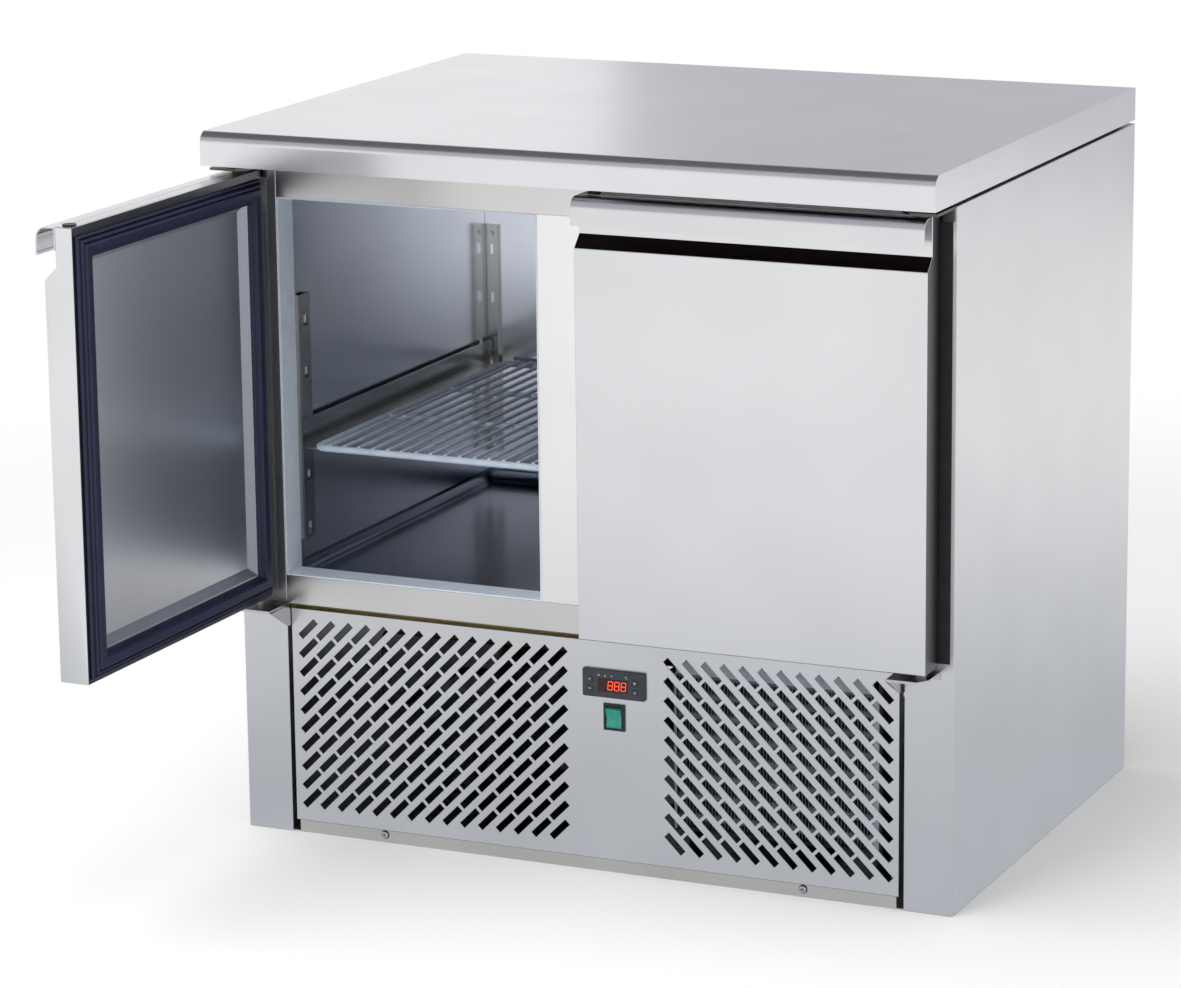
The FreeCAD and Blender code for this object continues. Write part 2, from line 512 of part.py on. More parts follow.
def front_grille():
    """Removable panel with two fields of slanted slots and openings for the controls."""
    x, z0, z1, d = GRILLE_X, GRILLE_BOT, GRILLE_TOP, 14.0
    panel = box(-x, x, FRONT, FRONT + d, z0, z1).cut(
        box(-x + SHEET, x - SHEET, FRONT + SHEET, FRONT + d + 1, z0 + SHEET, z1 - SHEET))
    cuts = []
    for n, x_first, lean in ((LEFT_SLOTS, LEFT_SLOT_X, 1), (RIGHT_SLOTS, RIGHT_SLOT_X, -1)):
        for col in range(n):
            for row in range(SLOT_ROWS):
                cuts.append(slot(x_first + col * SLOT_PITCH, SLOT_TOP_Z - row * SLOT_PITCH, lean))
    cuts.append(box(CTRL_X - 36, CTRL_X + 36, FRONT - 1, FRONT + 2, CTRL_Z - 14.8, CTRL_Z + 14.8))
    cuts.append(box(SW_X - 11.3, SW_X + 11.3, FRONT - 1, FRONT + 2, SW_Z - 14.3, SW_Z + 14.3))
    save("front_grille", panel.cut(Part.makeCompound(cuts)))


def base():
    """Floor tray of the machine compartment, turned up at the front as the kick strip."""
    x, t = POST_IN - SEAT, 1.5
    y = FRONT + 2.0
    tray = prism_z(body_plan(y), 0, t)
    kick = box(-x + 9, x - 9, y, y + t, 0, GRILLE_BOT - SEAT)
    holes = [rod(s * SCREW_X, y - 1, SCREW_Z, 2.2, 4, (0, 1, 0)) for s in (-1, 1)]
    save("base_tray", fuse(tray, kick).cut(Part.makeCompound(holes)))
    fix = []
    for s in (-1, 1):
        head = rod(s * SCREW_X, y - SEAT, SCREW_Z, SCREW_R, 2.6, (0, -1, 0))
        head = head.makeFillet(1.6, edges_where(head, lambda p: near(p.y, y - SEAT - 2.6)))
        fix.append(head.fuse(rod(s * SCREW_X, y - SEAT - 0.5, SCREW_Z, 1.9, 9, (0, 1, 0))))
    for s in (-1, 1):
        for z in (UPRIGHT_TOP - 11.5, UPRIGHT_BOT + 20):
            y1 = LINER_Y - SEAT - 1.5 - SEAT
            fix.append(rod(s * (LINER_X - 9.5), y1, z, 3.2, 2, (0, -1, 0)))
    save("screws", *fix)


def controls():
    """Electronic thermostat with four keys, and the green power rocker below it."""
    y0, w, h = FRONT - SEAT, CTRL_W / 2, CTRL_H / 2
    bezel = box(CTRL_X - w, CTRL_X + w, y0 - CTRL_PROUD, y0, CTRL_Z - h, CTRL_Z + h)
    bezel = bezel.makeFillet(2.0, edges_where(bezel, lambda p: near(abs(p.x - CTRL_X), w)
                                              and near(abs(p.z - CTRL_Z), h)))
    bezel = bezel.makeFillet(1.2, edges_where(bezel, lambda p: near(p.y, y0 - CTRL_PROUD)))
    case = box(CTRL_X - 35.4, CTRL_X + 35.4, y0 - 0.5, y0 + 55, CTRL_Z - 14.2, CTRL_Z + 14.2)
    front = y0 - CTRL_PROUD
    pocket = box(WIN_X - WIN_W / 2 - SEAT, WIN_X + WIN_W / 2 + SEAT, front - 1, front + 2.2,
                 WIN_Z - WIN_H / 2 - SEAT, WIN_Z + WIN_H / 2 + SEAT)
    housing = bezel.fuse(case).cut(pocket)
    g = 0.25
    keys = []
    for x in KEY_XS:
        for z in KEY_ZS:
            housing = housing.cut(box(x - KEY_W / 2 - g, x + KEY_W / 2 + g, front - 1, front + 3.5,
                                      z - KEY_H / 2 - g, z + KEY_H / 2 + g))
            key = box(x - KEY_W / 2, x + KEY_W / 2, front - KEY_PROUD, front + 2.2, z - KEY_H / 2, z + KEY_H / 2)
            keys.append(key.makeFillet(0.5, edges_where(key, lambda p: near(p.y, front - KEY_PROUD))))
    save("controller_housing", housing)
    save("controller_display", box(WIN_X - WIN_W / 2, WIN_X + WIN_W / 2, front - 0.2, front + 1.9,
                                   WIN_Z - WIN_H / 2, WIN_Z + WIN_H / 2))
    for n, key in enumerate(keys):
        save("controller_key_%d" % (n + 1), key)
    w, h, proud = SW_W / 2, SW_H / 2, 2.6
    frame = box(SW_X - w, SW_X + w, y0 - proud, y0, SW_Z - h, SW_Z + h)
    frame = frame.makeFillet(1.0, edges_where(frame, lambda p: near(p.y, y0 - proud)))
    frame = frame.fuse(box(SW_X - SW_CASE, SW_X + SW_CASE, y0 - 0.5, y0 + 24, SW_Z - 14, SW_Z + 14))
    pivot_y = y0 + 6.5
    well = box(SW_X - ROCKER_W / 2 - 0.4, SW_X + ROCKER_W / 2 + 0.4, y0 - proud - 1, pivot_y + 6,
               SW_Z - ROCKER_H / 2 - 1.6, SW_Z + ROCKER_H / 2 + 1.6)
    ears = rod(SW_X - SW_CASE - 1, pivot_y, SW_Z, TRUNNION_R + RUN, 2 * SW_CASE + 2, (1, 0, 0))
    save("switch_housing", frame.cut(well).cut(ears))
    k = ROCKER_H / 2
    rocker = prism_x([(pivot_y - 8.0, SW_Z), (pivot_y - 10.4, SW_Z + k), (pivot_y - 4, SW_Z + k),
                      (pivot_y + 4, SW_Z + 4), (pivot_y + 4, SW_Z - 4), (pivot_y - 4, SW_Z - k),
                      (pivot_y - 10.4, SW_Z - k)], SW_X - ROCKER_W / 2, SW_X + ROCKER_W / 2)
    rocker.rotate(V(SW_X, pivot_y, SW_Z), V(1, 0, 0), ROCKER_TILT)
    reach = ROCKER_W / 2 + TRUNNION_OUT
    save("power_rocker", rocker.fuse(rod(SW_X - reach, pivot_y, SW_Z, TRUNNION_R, 2 * reach, (1, 0, 0))))


def machinery():
    """Condenser and fan behind the right slots; compressor, drier and pipework behind the left ones."""
    x0, x1, z0, z1, y0 = COND_X0, COND_X1, COND_Z0, COND_Z1, COND_Y
    shell = box(x0, x1, y0, y0 + COND_DEEP, z0, z1).cut(
        box(x0 + SHEET, x1 - SHEET, y0 + SHEET, y0 + COND_DEEP + 1, z0 + SHEET, z1 - SHEET))
    shell = shell.cut(box(x0 + 2.5, x1 - 12, y0 - 1, y0 + 2, z0 + 4, z1 - 11))
    feet = box(x0 + 10, x1 - 10, y0 + 20, y0 + COND_DEEP - 5, 1.5 + SEAT, z0 + 0.5)
    feet = feet.cut(box(x0 + 14, x1 - 14, y0 + 19, y0 + COND_DEEP, 5, z0 - 4))
    save("condenser_frame", fuse(shell, feet))
    fx0, fx1 = x0 + SHEET + SEAT, x1 - SHEET - SEAT
    count = int((fx1 - fx0) / FIN_PITCH)
    comb = [(fx0, y0 + COND_DEEP - 4)]
    for n in range(count):
        a = fx0 + n * FIN_PITCH
        comb += [(a, y0 + 4), (a + FIN_T, y0 + 4), (a + FIN_T, y0 + 30), (a + FIN_PITCH, y0 + 30)]
    comb += [(fx0 + count * FIN_PITCH, y0 + COND_DEEP - 4)]
    save("condenser_fins", prism_z(comb, z0 + SHEET + SEAT, z1 - SHEET - SEAT))

    # fan unit: motor on a bracket standing on the tray, six-blade fan on its shaft
    fy = y0 + COND_DEEP + 14
    motor = rod(FAN_X, fy + 26, FAN_Z, 38, 60, (0, 1, 0))
    shaft = rod(FAN_X, fy, FAN_Z, 4, 27, (0, 1, 0))
    leg = box(FAN_X - 25, FAN_X + 25, fy + 40, fy + 70, 1.5 + SEAT, FAN_Z - 30)
    save("fan_motor", fuse(motor, shaft, leg))
    hub = rod(FAN_X, fy + 2, FAN_Z, 20, 16, (0, 1, 0))
    blades = []
    for n in range(6):
        blade = box(-16, 16, -0.8, 0.8, 15, FAN_R)
        blade.rotate(V(0, 0, 0), V(0, 0, 1), 28)
        blade.translate(V(FAN_X, fy + 10, FAN_Z))
        blade.rotate(V(FAN_X, 0, FAN_Z), V(0, 1, 0), n * 60)
        blades.append(blade)
    fan = hub.multiFuse(blades).cut(rod(FAN_X, fy - 1, FAN_Z, 4 + RUN, 30, (0, 1, 0)))
    save("fan_blade", fan)

    # hermetic compressor on rubber mounts
    base_z = 1.5 + SEAT
    pot_z = 26.0
    pot = rod(COMP_X, COMP_Y, pot_z, COMP_R, COMP_H - pot_z, (0, 0, 1))
    pot = pot.makeFillet(30, edges_where(pot, lambda p: near(p.z, COMP_H)))
    pot = pot.makeFillet(10, edges_where(pot, lambda p: near(p.z, pot_z)))
    seam = rod(COMP_X, COMP_Y, 92, COMP_R + 4, 5, (0, 0, 1))
    plate = box(COMP_X - 95, COMP_X + 95, COMP_Y - 62, COMP_Y + 62, pot_z - 4, pot_z + 4)
    box_t = box(COMP_X + COMP_R - 10, COMP_X + COMP_R + 30, COMP_Y - 28, COMP_Y + 28, 60, 125)
    stub = rod(COMP_X - COMP_R + 8, COMP_Y - 30, 120, 5, 22, (-1, 0, 0))
    mounts = []
    holes = []
    for sx in (-1, 1):
        for sy in (-1, 1):
            mx, my = COMP_X + sx * 84, COMP_Y + sy * 52
            holes.append(rod(mx, my, pot_z - 5, 5, 10, (0, 0, 1)))
            mounts.append(fuse(rod(mx, my, base_z, 9, pot_z - 4 - SEAT - base_z, (0, 0, 1)),
                               rod(mx, my, base_z, 4.5, pot_z + 6 - base_z, (0, 0, 1)),
                               ))
    save("compressor", fuse(pot, seam, plate, box_t, stub).cut(Part.makeCompound(holes)))
    save("compressor_mounts", *mounts)

    def pipe(points, r, bend=14.0):
        """Round tube through a list of points, with a bend at each inner one."""
        pts = [V(*p) for p in points]
        edges, last = [], pts[0]
        for a, b, c in zip(pts, pts[1:], pts[2:]):
            d0, d1 = (b - a).normalize(), (c - b).normalize()
            p0, p1 = b - d0 * bend, b + d1 * bend
            mid = b + (d1 - d0) * (bend * (1 - math.sqrt(0.5)))
            edges += [Part.makeLine(last, p0), Part.Arc(p0, mid, p1).toShape()]
            last = p1
        edges.append(Part.makeLine(last, pts[-1]))
        ring = Part.Wire([Part.makeCircle(r, pts[0], pts[1] - pts[0])])
        return Part.Wire(edges).makePipeShell([ring], True, False)
    px, pz, py = COMP_X - COMP_R - 14 - SEAT, z1 - 35, y0 + 35
    save("refrigerant_lines",
         pipe([(px - 0.5, COMP_Y - 30, 120), (px - 26, COMP_Y - 30, 120), (px - 26, y0 + 108, 120),
               (px - 26, y0 + 108, pz), (x0 - 30, y0 + 108, pz), (x0 - 30, py, pz), (x0 - SEAT, py, pz)], 4),
         pipe([(x0 - SEAT, py, 70), (x0 - 70, py, 70), (x0 - 70, y0 + 138, 70), (x0 - 120, y0 + 138, 70)], 3.5))
    drier = rod(x0 - 120 - SEAT, y0 + 138, 70, 14, 90, (-1, 0, 0))
    drier = drier.makeFillet(8, drier.Edges[:1] + drier.Edges[2:3])
    save("filter_drier", drier)

    # condensate tray kept warm beside the compressor
    tx, ty = COMP_X + 180, COMP_Y - 50
    tray = box(tx, tx + 100, ty, ty + 160, base_z, 36)
    save("condensate_tray", tray.cut(box(tx + 2, tx + 98, ty + 2, ty + 158, base_z + 2, 37)))
    # evaporator unit on the rear wall between the two compartments
    w, ez, ey = EVAP_W / 2, EVAP_Z, LINER_Y - SEAT - EVAP_D
    cover = box(-w, w, ey, ey + EVAP_D, ez, ez + EVAP_H).cut(
        box(-w + 1.5, w - 1.5, ey + 1.5, ey + EVAP_D + 1, ez + 1.5, ez + EVAP_H - 1.5))
    cx, cz = 0, ez + EVAP_H / 2
    mouth = rod(cx, ey - 1, cz, 66, 4, (0, 1, 0))
    arms = [box(-66, 66, ey, ey + 1.5, cz - 4, cz + 4), box(-4, 4, ey, ey + 1.5, cz - 66, cz + 66),
            rod(cx, ey, cz, 18, 20, (0, 1, 0)), rod(cx, ey, cz, 3, 32, (0, 1, 0))]
    save("evaporator_cover", fuse(cover.cut(mouth), *arms))
    hub = rod(cx, ey + 22, cz, 14, 9, (0, 1, 0))
    blades = []
    for n in range(5):
        blade = box(-12, 12, -0.6, 0.6, 10, 60)
        blade.rotate(V(0, 0, 0), V(0, 0, 1), 18)
        blade.translate(V(cx, ey + 26.5, cz))
        blade.rotate(V(cx, 0, cz), V(0, 1, 0), n * 72)
        blades.append(blade)
    save("evaporator_fan", hub.multiFuse(blades).cut(rod(cx, ey, cz, 3 + RUN, 40, (0, 1, 0))))
    a, count, t = -w + 1.5 + SEAT, 24, 1.5 + SEAT
    pitch = -2 * a / count
    comb = [(a, ey + EVAP_D)]
    for n in range(count):
        comb += [(a + n * pitch, ey + 36), (a + n * pitch + 1.2, ey + 36),
                 (a + n * pitch + 1.2, ey + 50), (a + (n + 1) * pitch, ey + 50)]
    save("evaporator_coil", prism_z(comb + [(-a, ey + EVAP_D)], ez + t, ez + EVAP_H - t))


def cord_gland():
    """Gland where the supply cord enters at the back."""
    y = BACK
    g = fuse(rod(GLAND_X, y - 9, GLAND_Z, GLAND_R, 7.7, (0, 1, 0)),
             rod(GLAND_X, y - 9, GLAND_Z, GLAND_NECK_R, 9, (0, 1, 0)))
    save("cord_gland", g.cut(rod(GLAND_X, y - 10, GLAND_Z, GLAND_BORE, 12, (0, 1, 0))))


worktop()
side_panel(-1, "left_side_panel")
side_panel(1, "right_side_panel")
back_panel()
insulation()
liners()
front_frame()
uprights()
runners()
shelf(-1, "left_shelf")
shelf(1, "right_shelf")
doors()
hinges()
front_grille()
base()
controls()
machinery()
cord_gland()
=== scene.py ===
"""Two-door refrigerated prep counter: finishes, seals, controls and machinery round the frame."""
import json
import logging
import math
from dataclasses import dataclass
from enum import Enum
from typing import Any, Sequence

import bmesh
import bpy
from mathutils import Matrix, Vector


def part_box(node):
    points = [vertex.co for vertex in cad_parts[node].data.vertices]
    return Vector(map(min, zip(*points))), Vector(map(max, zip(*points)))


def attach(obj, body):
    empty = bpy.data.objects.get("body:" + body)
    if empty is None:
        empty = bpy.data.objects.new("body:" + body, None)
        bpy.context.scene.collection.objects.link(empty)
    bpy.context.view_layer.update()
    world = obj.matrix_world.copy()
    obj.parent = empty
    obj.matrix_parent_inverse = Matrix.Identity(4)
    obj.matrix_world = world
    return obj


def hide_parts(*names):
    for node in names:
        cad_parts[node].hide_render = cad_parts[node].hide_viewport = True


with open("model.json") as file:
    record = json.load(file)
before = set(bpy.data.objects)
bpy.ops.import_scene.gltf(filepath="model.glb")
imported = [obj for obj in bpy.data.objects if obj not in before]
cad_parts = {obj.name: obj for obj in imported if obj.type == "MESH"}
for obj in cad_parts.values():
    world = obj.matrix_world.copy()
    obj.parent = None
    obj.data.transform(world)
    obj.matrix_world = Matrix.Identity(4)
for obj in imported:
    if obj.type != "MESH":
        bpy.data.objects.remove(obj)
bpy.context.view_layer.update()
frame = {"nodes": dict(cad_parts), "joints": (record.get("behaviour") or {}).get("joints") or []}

log = logging.getLogger("prep_counter")
MM = 0.001
MM_PER_METRE = 1000.0
NOISE_DARK, NOISE_LIGHT = 0.3, 0.7  # most of a noise texture's values lie between these
SMOOTH_BELOW = 35.0  # degrees: flatter edges than this are shaded smooth
FOLD_ABOVE = 40.0  # degrees: sharper edges than this are folds of a sheet
FOLD_RADIUS = 0.8 * MM  # outer radius of a fold in 1 mm sheet
WHITE = (1.0, 1.0, 1.0, 1.0)
Point = tuple[float, float, float]
Spot = tuple[float, float]


# -------------------- shared tools
def linear(colour: str) -> tuple[float, float, float, float]:
    """Turn an sRGB hex colour into linear RGBA.

    Args:
        colour: a colour such as "#D6D7D9".

    Returns:
        The four linear channels, alpha 1.
    """
    parts = [int(colour[n:n + 2], 16) / 255 for n in (1, 3, 5)]
    r, g, b = (c / 12.92 if c <= 0.04045 else ((c + 0.055) / 1.055) ** 2.4 for c in parts)
    return r, g, b, 1.0


def add(tree: bpy.types.NodeTree, kind: str, inputs: dict[Any, Any] | None = None,
        **settings: Any) -> bpy.types.Node:
    """Add one node.

    Args:
        tree: the node tree it goes into.
        kind: the node's type name, without "ShaderNode".
        inputs: input name or index, to a value or to the output socket that feeds it.
        settings: the node's own properties.

    Returns:
        The new node.
    """
    made = tree.nodes.new("ShaderNode" + kind)
    for key, value in settings.items():
        setattr(made, key, value)
    for key, value in (inputs or {}).items():
        if isinstance(value, bpy.types.NodeSocket):
            tree.links.new(value, made.inputs[key])
        else:
            made.inputs[key].default_value = value
    return made


def blank(name: str) -> tuple[bpy.types.Material, bpy.types.NodeTree, bpy.types.Node]:
    """Make an empty node material.

    Args:
        name: the finish's name.

    Returns:
        The material, its tree and its output node.
    """
    made = bpy.data.materials.new(name)
    made.use_nodes = True
    made.node_tree.nodes.clear()
    return made, made.node_tree, add(made.node_tree, "OutputMaterial")


def grain_field(tree: bpy.types.NodeTree, size_mm: Point,
                detail: float = 2.0) -> bpy.types.NodeSocket:
    """Noise whose blotches have real sizes.

    Args:
        tree: the tree it goes into.
        size_mm: blotch size along X, Y and Z.
        detail: how many finer layers it carries.

    Returns:
        A grey value between 0 and 1.
    """
    place = add(tree, "TexCoord").outputs["Object"]
    scaled = add(tree, "VectorMath", {0: place, 1: tuple(MM_PER_METRE / s for s in size_mm)},
                 operation="MULTIPLY")
    return add(tree, "TexNoise",
               {"Vector": scaled.outputs[0], "Scale": 1.0, "Detail": detail}).outputs[0]


def spread(tree: bpy.types.NodeTree, value: bpy.types.NodeSocket, low: float,
           high: float) -> bpy.types.NodeSocket:
    """Stretch the middle of a noise value over a range.

    Args:
        tree: the tree it goes into.
        value: the noise.
        low: result where the noise is darkest.
        high: result where it is lightest.

    Returns:
        The stretched value.
    """
    return add(tree, "MapRange",
               {0: value, 1: NOISE_DARK, 2: NOISE_LIGHT, 3: low, 4: high}).outputs[0]


def tinted(tree: bpy.types.NodeTree, value: bpy.types.NodeSocket, dark: str,
           light: str) -> bpy.types.NodeSocket:
    """Mix two colours by a noise value.

    Args:
        tree: the tree it goes into.
        value: the noise.
        dark: hex colour where it is low.
        light: hex colour where it is high.

    Returns:
        The colour.
    """
    share = spread(tree, value, 0.0, 1.0)
    return add(tree, "Mix", {0: share, 6: linear(dark), 7: linear(light)},
               data_type="RGBA").outputs[2]


# -------------------- finishes
class Grain(Enum):
    """Which way the abrasive belt ran over a sheet."""

    ACROSS = (1.0, 0.0, 0.0)
    BACK = (0.0, 1.0, 0.0)
    UP = (0.0, 0.0, 1.0)


@dataclass(frozen=True)
class PaintedShade:
    """Faces of a sheet that lie one way and are given another tone: painted shade, and on a door's
    hinge edge a painted dark reflection.
    """

    axis: str
    tilt: float  # how far the face's normal leans along that axis, -1 to 1
    colour: str
    slack: float = 0.1  # how far a normal may be off and still count


@dataclass(frozen=True)
class BrushedStainless:
    """AISI 304 sheet, belt-brushed: fine scratches that smear each reflection across the grain."""

    name: str
    colour: str = "#D9DADC"
    shade: str = "#D2D3D5"
    roughness: float = 0.27
    grain: Grain = Grain.ACROSS
    scratch_mm: float = 1.2  # real scratches are about 0.1 mm apart; coarser so that they show
    scratch_long_mm: float = 180.0
    mottle_mm: float = 150.0  # slow change of tone over a sheet
    anisotropy: float = 0.4
    relief: float = 0.003
    scratch_deep: float = 0.4 * MM
    swing: float = 0.012  # how much the scratches change the roughness
    painted_shades: tuple[PaintedShade, ...] = ()

    def build(self) -> bpy.types.Material:
        """Return the node material."""
        made, tree, out = blank(self.name)
        size = tuple(self.scratch_long_mm if a else self.scratch_mm for a in self.grain.value)
        scratch = grain_field(tree, size, detail=3.0)
        mottle = grain_field(tree, (self.mottle_mm,) * 3, detail=1.0)
        along = add(tree, "VectorTransform", {0: self.grain.value}, vector_type="VECTOR",
                    convert_from="OBJECT", convert_to="WORLD").outputs[0]
        bump = add(tree, "Bump", {"Strength": self.relief, "Distance": self.scratch_deep,
                                  "Height": scratch}).outputs[0]
        colour = tinted(tree, mottle, self.shade, self.colour)
        lie = add(tree, "SeparateXYZ", {0: add(tree, "TexCoord").outputs["Normal"]})
        # painted shade: faces lying one way get another, darker colour, whatever the light
        for painted in self.painted_shades:
            painted_shade_mask = add(tree, "Math", {0: lie.outputs[painted.axis], 1: painted.tilt, 2: painted.slack},
                       operation="COMPARE")
            colour = add(tree, "Mix", {0: painted_shade_mask.outputs[0], 6: colour, 7: linear(painted.colour)},
                         data_type="RGBA").outputs[2]
        rough = spread(tree, scratch, self.roughness - self.swing, self.roughness + self.swing)
        # the quarter turn lays the stretched highlight across the scratches
        steel = add(tree, "BsdfPrincipled", {
            "Base Color": colour, "Metallic": 1.0, "Roughness": rough,
            "Anisotropic": self.anisotropy, "Anisotropic Rotation": 0.25,
            "Tangent": along, "Normal": bump})
        tree.links.new(steel.outputs[0], out.inputs[0])
        return made


@dataclass(frozen=True)
class RolledMetal:
    """Bare metal as it left the rolls or the draw bench: even, with clouds of duller skin."""

    name: str
    colour: str
    shade: str
    roughness: float
    cloud_mm: float = 60.0
    relief: float = 0.05
    skin_mm: float = 1.5
    skin_deep: float = 0.3 * MM
    swing: float = 0.04

    def build(self) -> bpy.types.Material:
        """Return the node material."""
        made, tree, out = blank(self.name)
        cloud = grain_field(tree, (self.cloud_mm,) * 3, detail=3.0)
        skin = grain_field(tree, (self.skin_mm,) * 3)
        bump = add(tree, "Bump", {"Strength": self.relief, "Distance": self.skin_deep,
                                  "Height": skin}).outputs[0]
        rough = spread(tree, cloud, self.roughness - self.swing, self.roughness + self.swing)
        metal = add(tree, "BsdfPrincipled", {
            "Base Color": tinted(tree, cloud, self.shade, self.colour), "Metallic": 1.0,
            "Roughness": rough, "Normal": bump})
        tree.links.new(metal.outputs[0], out.inputs[0])
        return made


@dataclass(frozen=True)
class Plastic:
    """Moulded, extruded or coated polymer: a faint orange-peel skin with an even gloss."""

    name: str
    colour: str
    shade: str
    roughness: float = 0.4
    ior: float = 1.5
    peel_mm: float = 2.0
    relief: float = 0.08
    cloud_mm: float = 25.0
    peel_deep: float = 0.2 * MM
    swing: float = 0.04

    def build(self) -> bpy.types.Material:
        """Return the node material."""
        made, tree, out = blank(self.name)
        cloud = grain_field(tree, (self.cloud_mm,) * 3)
        peel = grain_field(tree, (self.peel_mm,) * 3, detail=1.0)
        bump = add(tree, "Bump", {"Strength": self.relief, "Distance": self.peel_deep,
                                  "Height": peel}).outputs[0]
        rough = spread(tree, peel, self.roughness - self.swing, self.roughness + self.swing)
        body = add(tree, "BsdfPrincipled", {
            "Base Color": tinted(tree, cloud, self.shade, self.colour),
            "Roughness": rough, "IOR": self.ior, "Normal": bump})
        tree.links.new(body.outputs[0], out.inputs[0])
        return made


@dataclass(frozen=True)
class LitPlastic:
    """Clear moulded plastic with a lamp behind it: its own colour plus an even glow."""

    name: str
    colour: str
    shade: str
    glow: float
    roughness: float = 0.2
    ior: float = 1.58
    cloud_mm: float = 6.0

    def build(self) -> bpy.types.Material:
        """Return the node material."""
        made, tree, out = blank(self.name)
        cloud = grain_field(tree, (self.cloud_mm,) * 3, detail=1.0)
        body = add(tree, "BsdfPrincipled", {
            "Base Color": tinted(tree, cloud, self.shade, self.colour),
            "Roughness": self.roughness, "IOR": self.ior,
            "Emission Color": linear(self.colour), "Emission Strength": self.glow})
        tree.links.new(body.outputs[0], out.inputs[0])
        return made


@dataclass(frozen=True)
class Foam:
    """Poured polyurethane or pressed board: matt, and pricked with fine cells."""

    name: str
    colour: str = "#D9C58A"
    shade: str = "#BFA969"
    cell_mm: float = 1.2
    cell_deep: float = 0.6 * MM
    relief: float = 0.5
    roughness: float = 0.9
    ior: float = 1.45

    def build(self) -> bpy.types.Material:
        """Return the node material."""
        made, tree, out = blank(self.name)
        cells = grain_field(tree, (self.cell_mm,) * 3, detail=3.0)
        bump = add(tree, "Bump", {"Strength": self.relief, "Distance": self.cell_deep,
                                  "Height": cells}).outputs[0]
        body = add(tree, "BsdfPrincipled", {
            "Base Color": tinted(tree, cells, self.shade, self.colour),
            "Roughness": self.roughness, "IOR": self.ior, "Normal": bump})
        tree.links.new(body.outputs[0], out.inputs[0])
        return made


# -------------------- mesh tools
def piece(name: str, mesh: bmesh.types.BMesh, finish: bpy.types.Material, body: str,
          smooth: bool = False) -> bpy.types.Object:
    """Turn a bmesh into an object that rides on a body.

    Args:
        name: the object's name.
        mesh: its geometry in the row frame; it is freed.
        finish: its material.
        body: the CAD body it moves with.
        smooth: whether its flatter edges are shaded smooth.

    Returns:
        The new object.
    """
    data = bpy.data.meshes.new(name)
    bmesh.ops.recalc_face_normals(mesh, faces=mesh.faces)
    mesh.to_mesh(data)
    mesh.free()
    data.materials.append(finish)
    if smooth:
        data.shade_smooth()
        data.set_sharp_from_angle(angle=math.radians(SMOOTH_BELOW))
    made = bpy.data.objects.new(name, data)
    bpy.context.scene.collection.objects.link(made)
    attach(made, body)
    log.info("built %s on %s", name, body)
    return made


def slab(mesh: bmesh.types.BMesh, low: Point, high: Point, chamfer: float = 0.0) -> None:
    """Add a block, with its edges broken if a chamfer is given.

    Args:
        mesh: the bmesh it goes into.
        low: its lowest corner.
        high: its highest corner.
        chamfer: chamfer in metres.
    """
    size = Vector(high) - Vector(low)
    middle = (Vector(high) + Vector(low)) / 2
    made = bmesh.ops.create_cube(mesh, size=1.0, matrix=Matrix.LocRotScale(middle, None, size))
    if chamfer:
        edges = list({e for v in made["verts"] for e in v.link_edges})
        bmesh.ops.bevel(mesh, geom=edges, offset=chamfer, segments=1, affect="EDGES",
                        profile=0.5)


def join_ends(mesh: bmesh.types.BMesh, near: Sequence[bmesh.types.BMVert],
              far: Sequence[bmesh.types.BMVert]) -> None:
    """Close a prism between two matching end outlines.

    Args:
        mesh: the bmesh they are in.
        near: the first end's points, in order.
        far: the second end's points, in the same order.
    """
    mesh.faces.new(near)
    mesh.faces.new(far[::-1])
    for n in range(len(near)):
        m = (n + 1) % len(near)
        mesh.faces.new((near[n], near[m], far[m], far[n]))


def plate(mesh: bmesh.types.BMesh, outline: Sequence[Point], through: Point, hand: int) -> None:
    """Add a flat plate from its outline, mirrored for the left hand.

    Args:
        mesh: the bmesh it goes into.
        outline: its corners on the right-hand side.
        through: its thickness, as a vector.
        hand: 1 for the right, -1 for the left.
    """
    ends = [[mesh.verts.new((hand * (x + d * through[0]), y + d * through[1], z + d * through[2]))
             for x, y, z in outline] for d in (0, 1)]
    join_ends(mesh, *ends)


def dress(finish: bpy.types.Material, *nodes: str) -> None:
    """Give CAD nodes a finish.

    Args:
        finish: the material.
        nodes: the CAD nodes that take it.
    """
    for name in nodes:
        part = frame["nodes"][name]
        if not part.material_slots:
            part.data.materials.append(finish)
        for held in part.material_slots:
            held.material = finish
        log.info("dressed %s in %s", name, finish.name)


def soften(radius: float, *nodes: str) -> None:
    """Round the folded edges of CAD sheet pieces so that they catch the light.

    Args:
        radius: edge radius in metres.
        nodes: the CAD nodes.
    """
    for name in nodes:
        part = frame["nodes"][name]
        weld = part.modifiers.new("joined_faces", "WELD")
        weld.merge_threshold = 1e-6
        bevel = part.modifiers.new("rounded_folds", "BEVEL")
        bevel.width, bevel.segments, bevel.limit_method = radius, 2, "ANGLE"
        bevel.angle_limit = math.radians(FOLD_ABOVE)
        bevel.harden_normals = True


# -------------------- sub-assemblies
@dataclass
class Worktop:
    """Folded lid with a rounded nose over the body."""

    # brushed along its width: one pale sweep, and a dark line where the nose rolls over
    finish: BrushedStainless = BrushedStainless(
        "brushed_stainless_worktop", "#E9E8ED", "#E4E3E8", 0.24, Grain.ACROSS)
    # film-faced board: dark brown and matt, seen only from below
    board: Foam = Foam("film_faced_core_board", "#3A2C22", "#2C211A")

    def build(self) -> None:
        """Dress the lid and its core board."""
        dress(self.finish.build(), "worktop")
        dress(self.board.build(), "worktop_core")


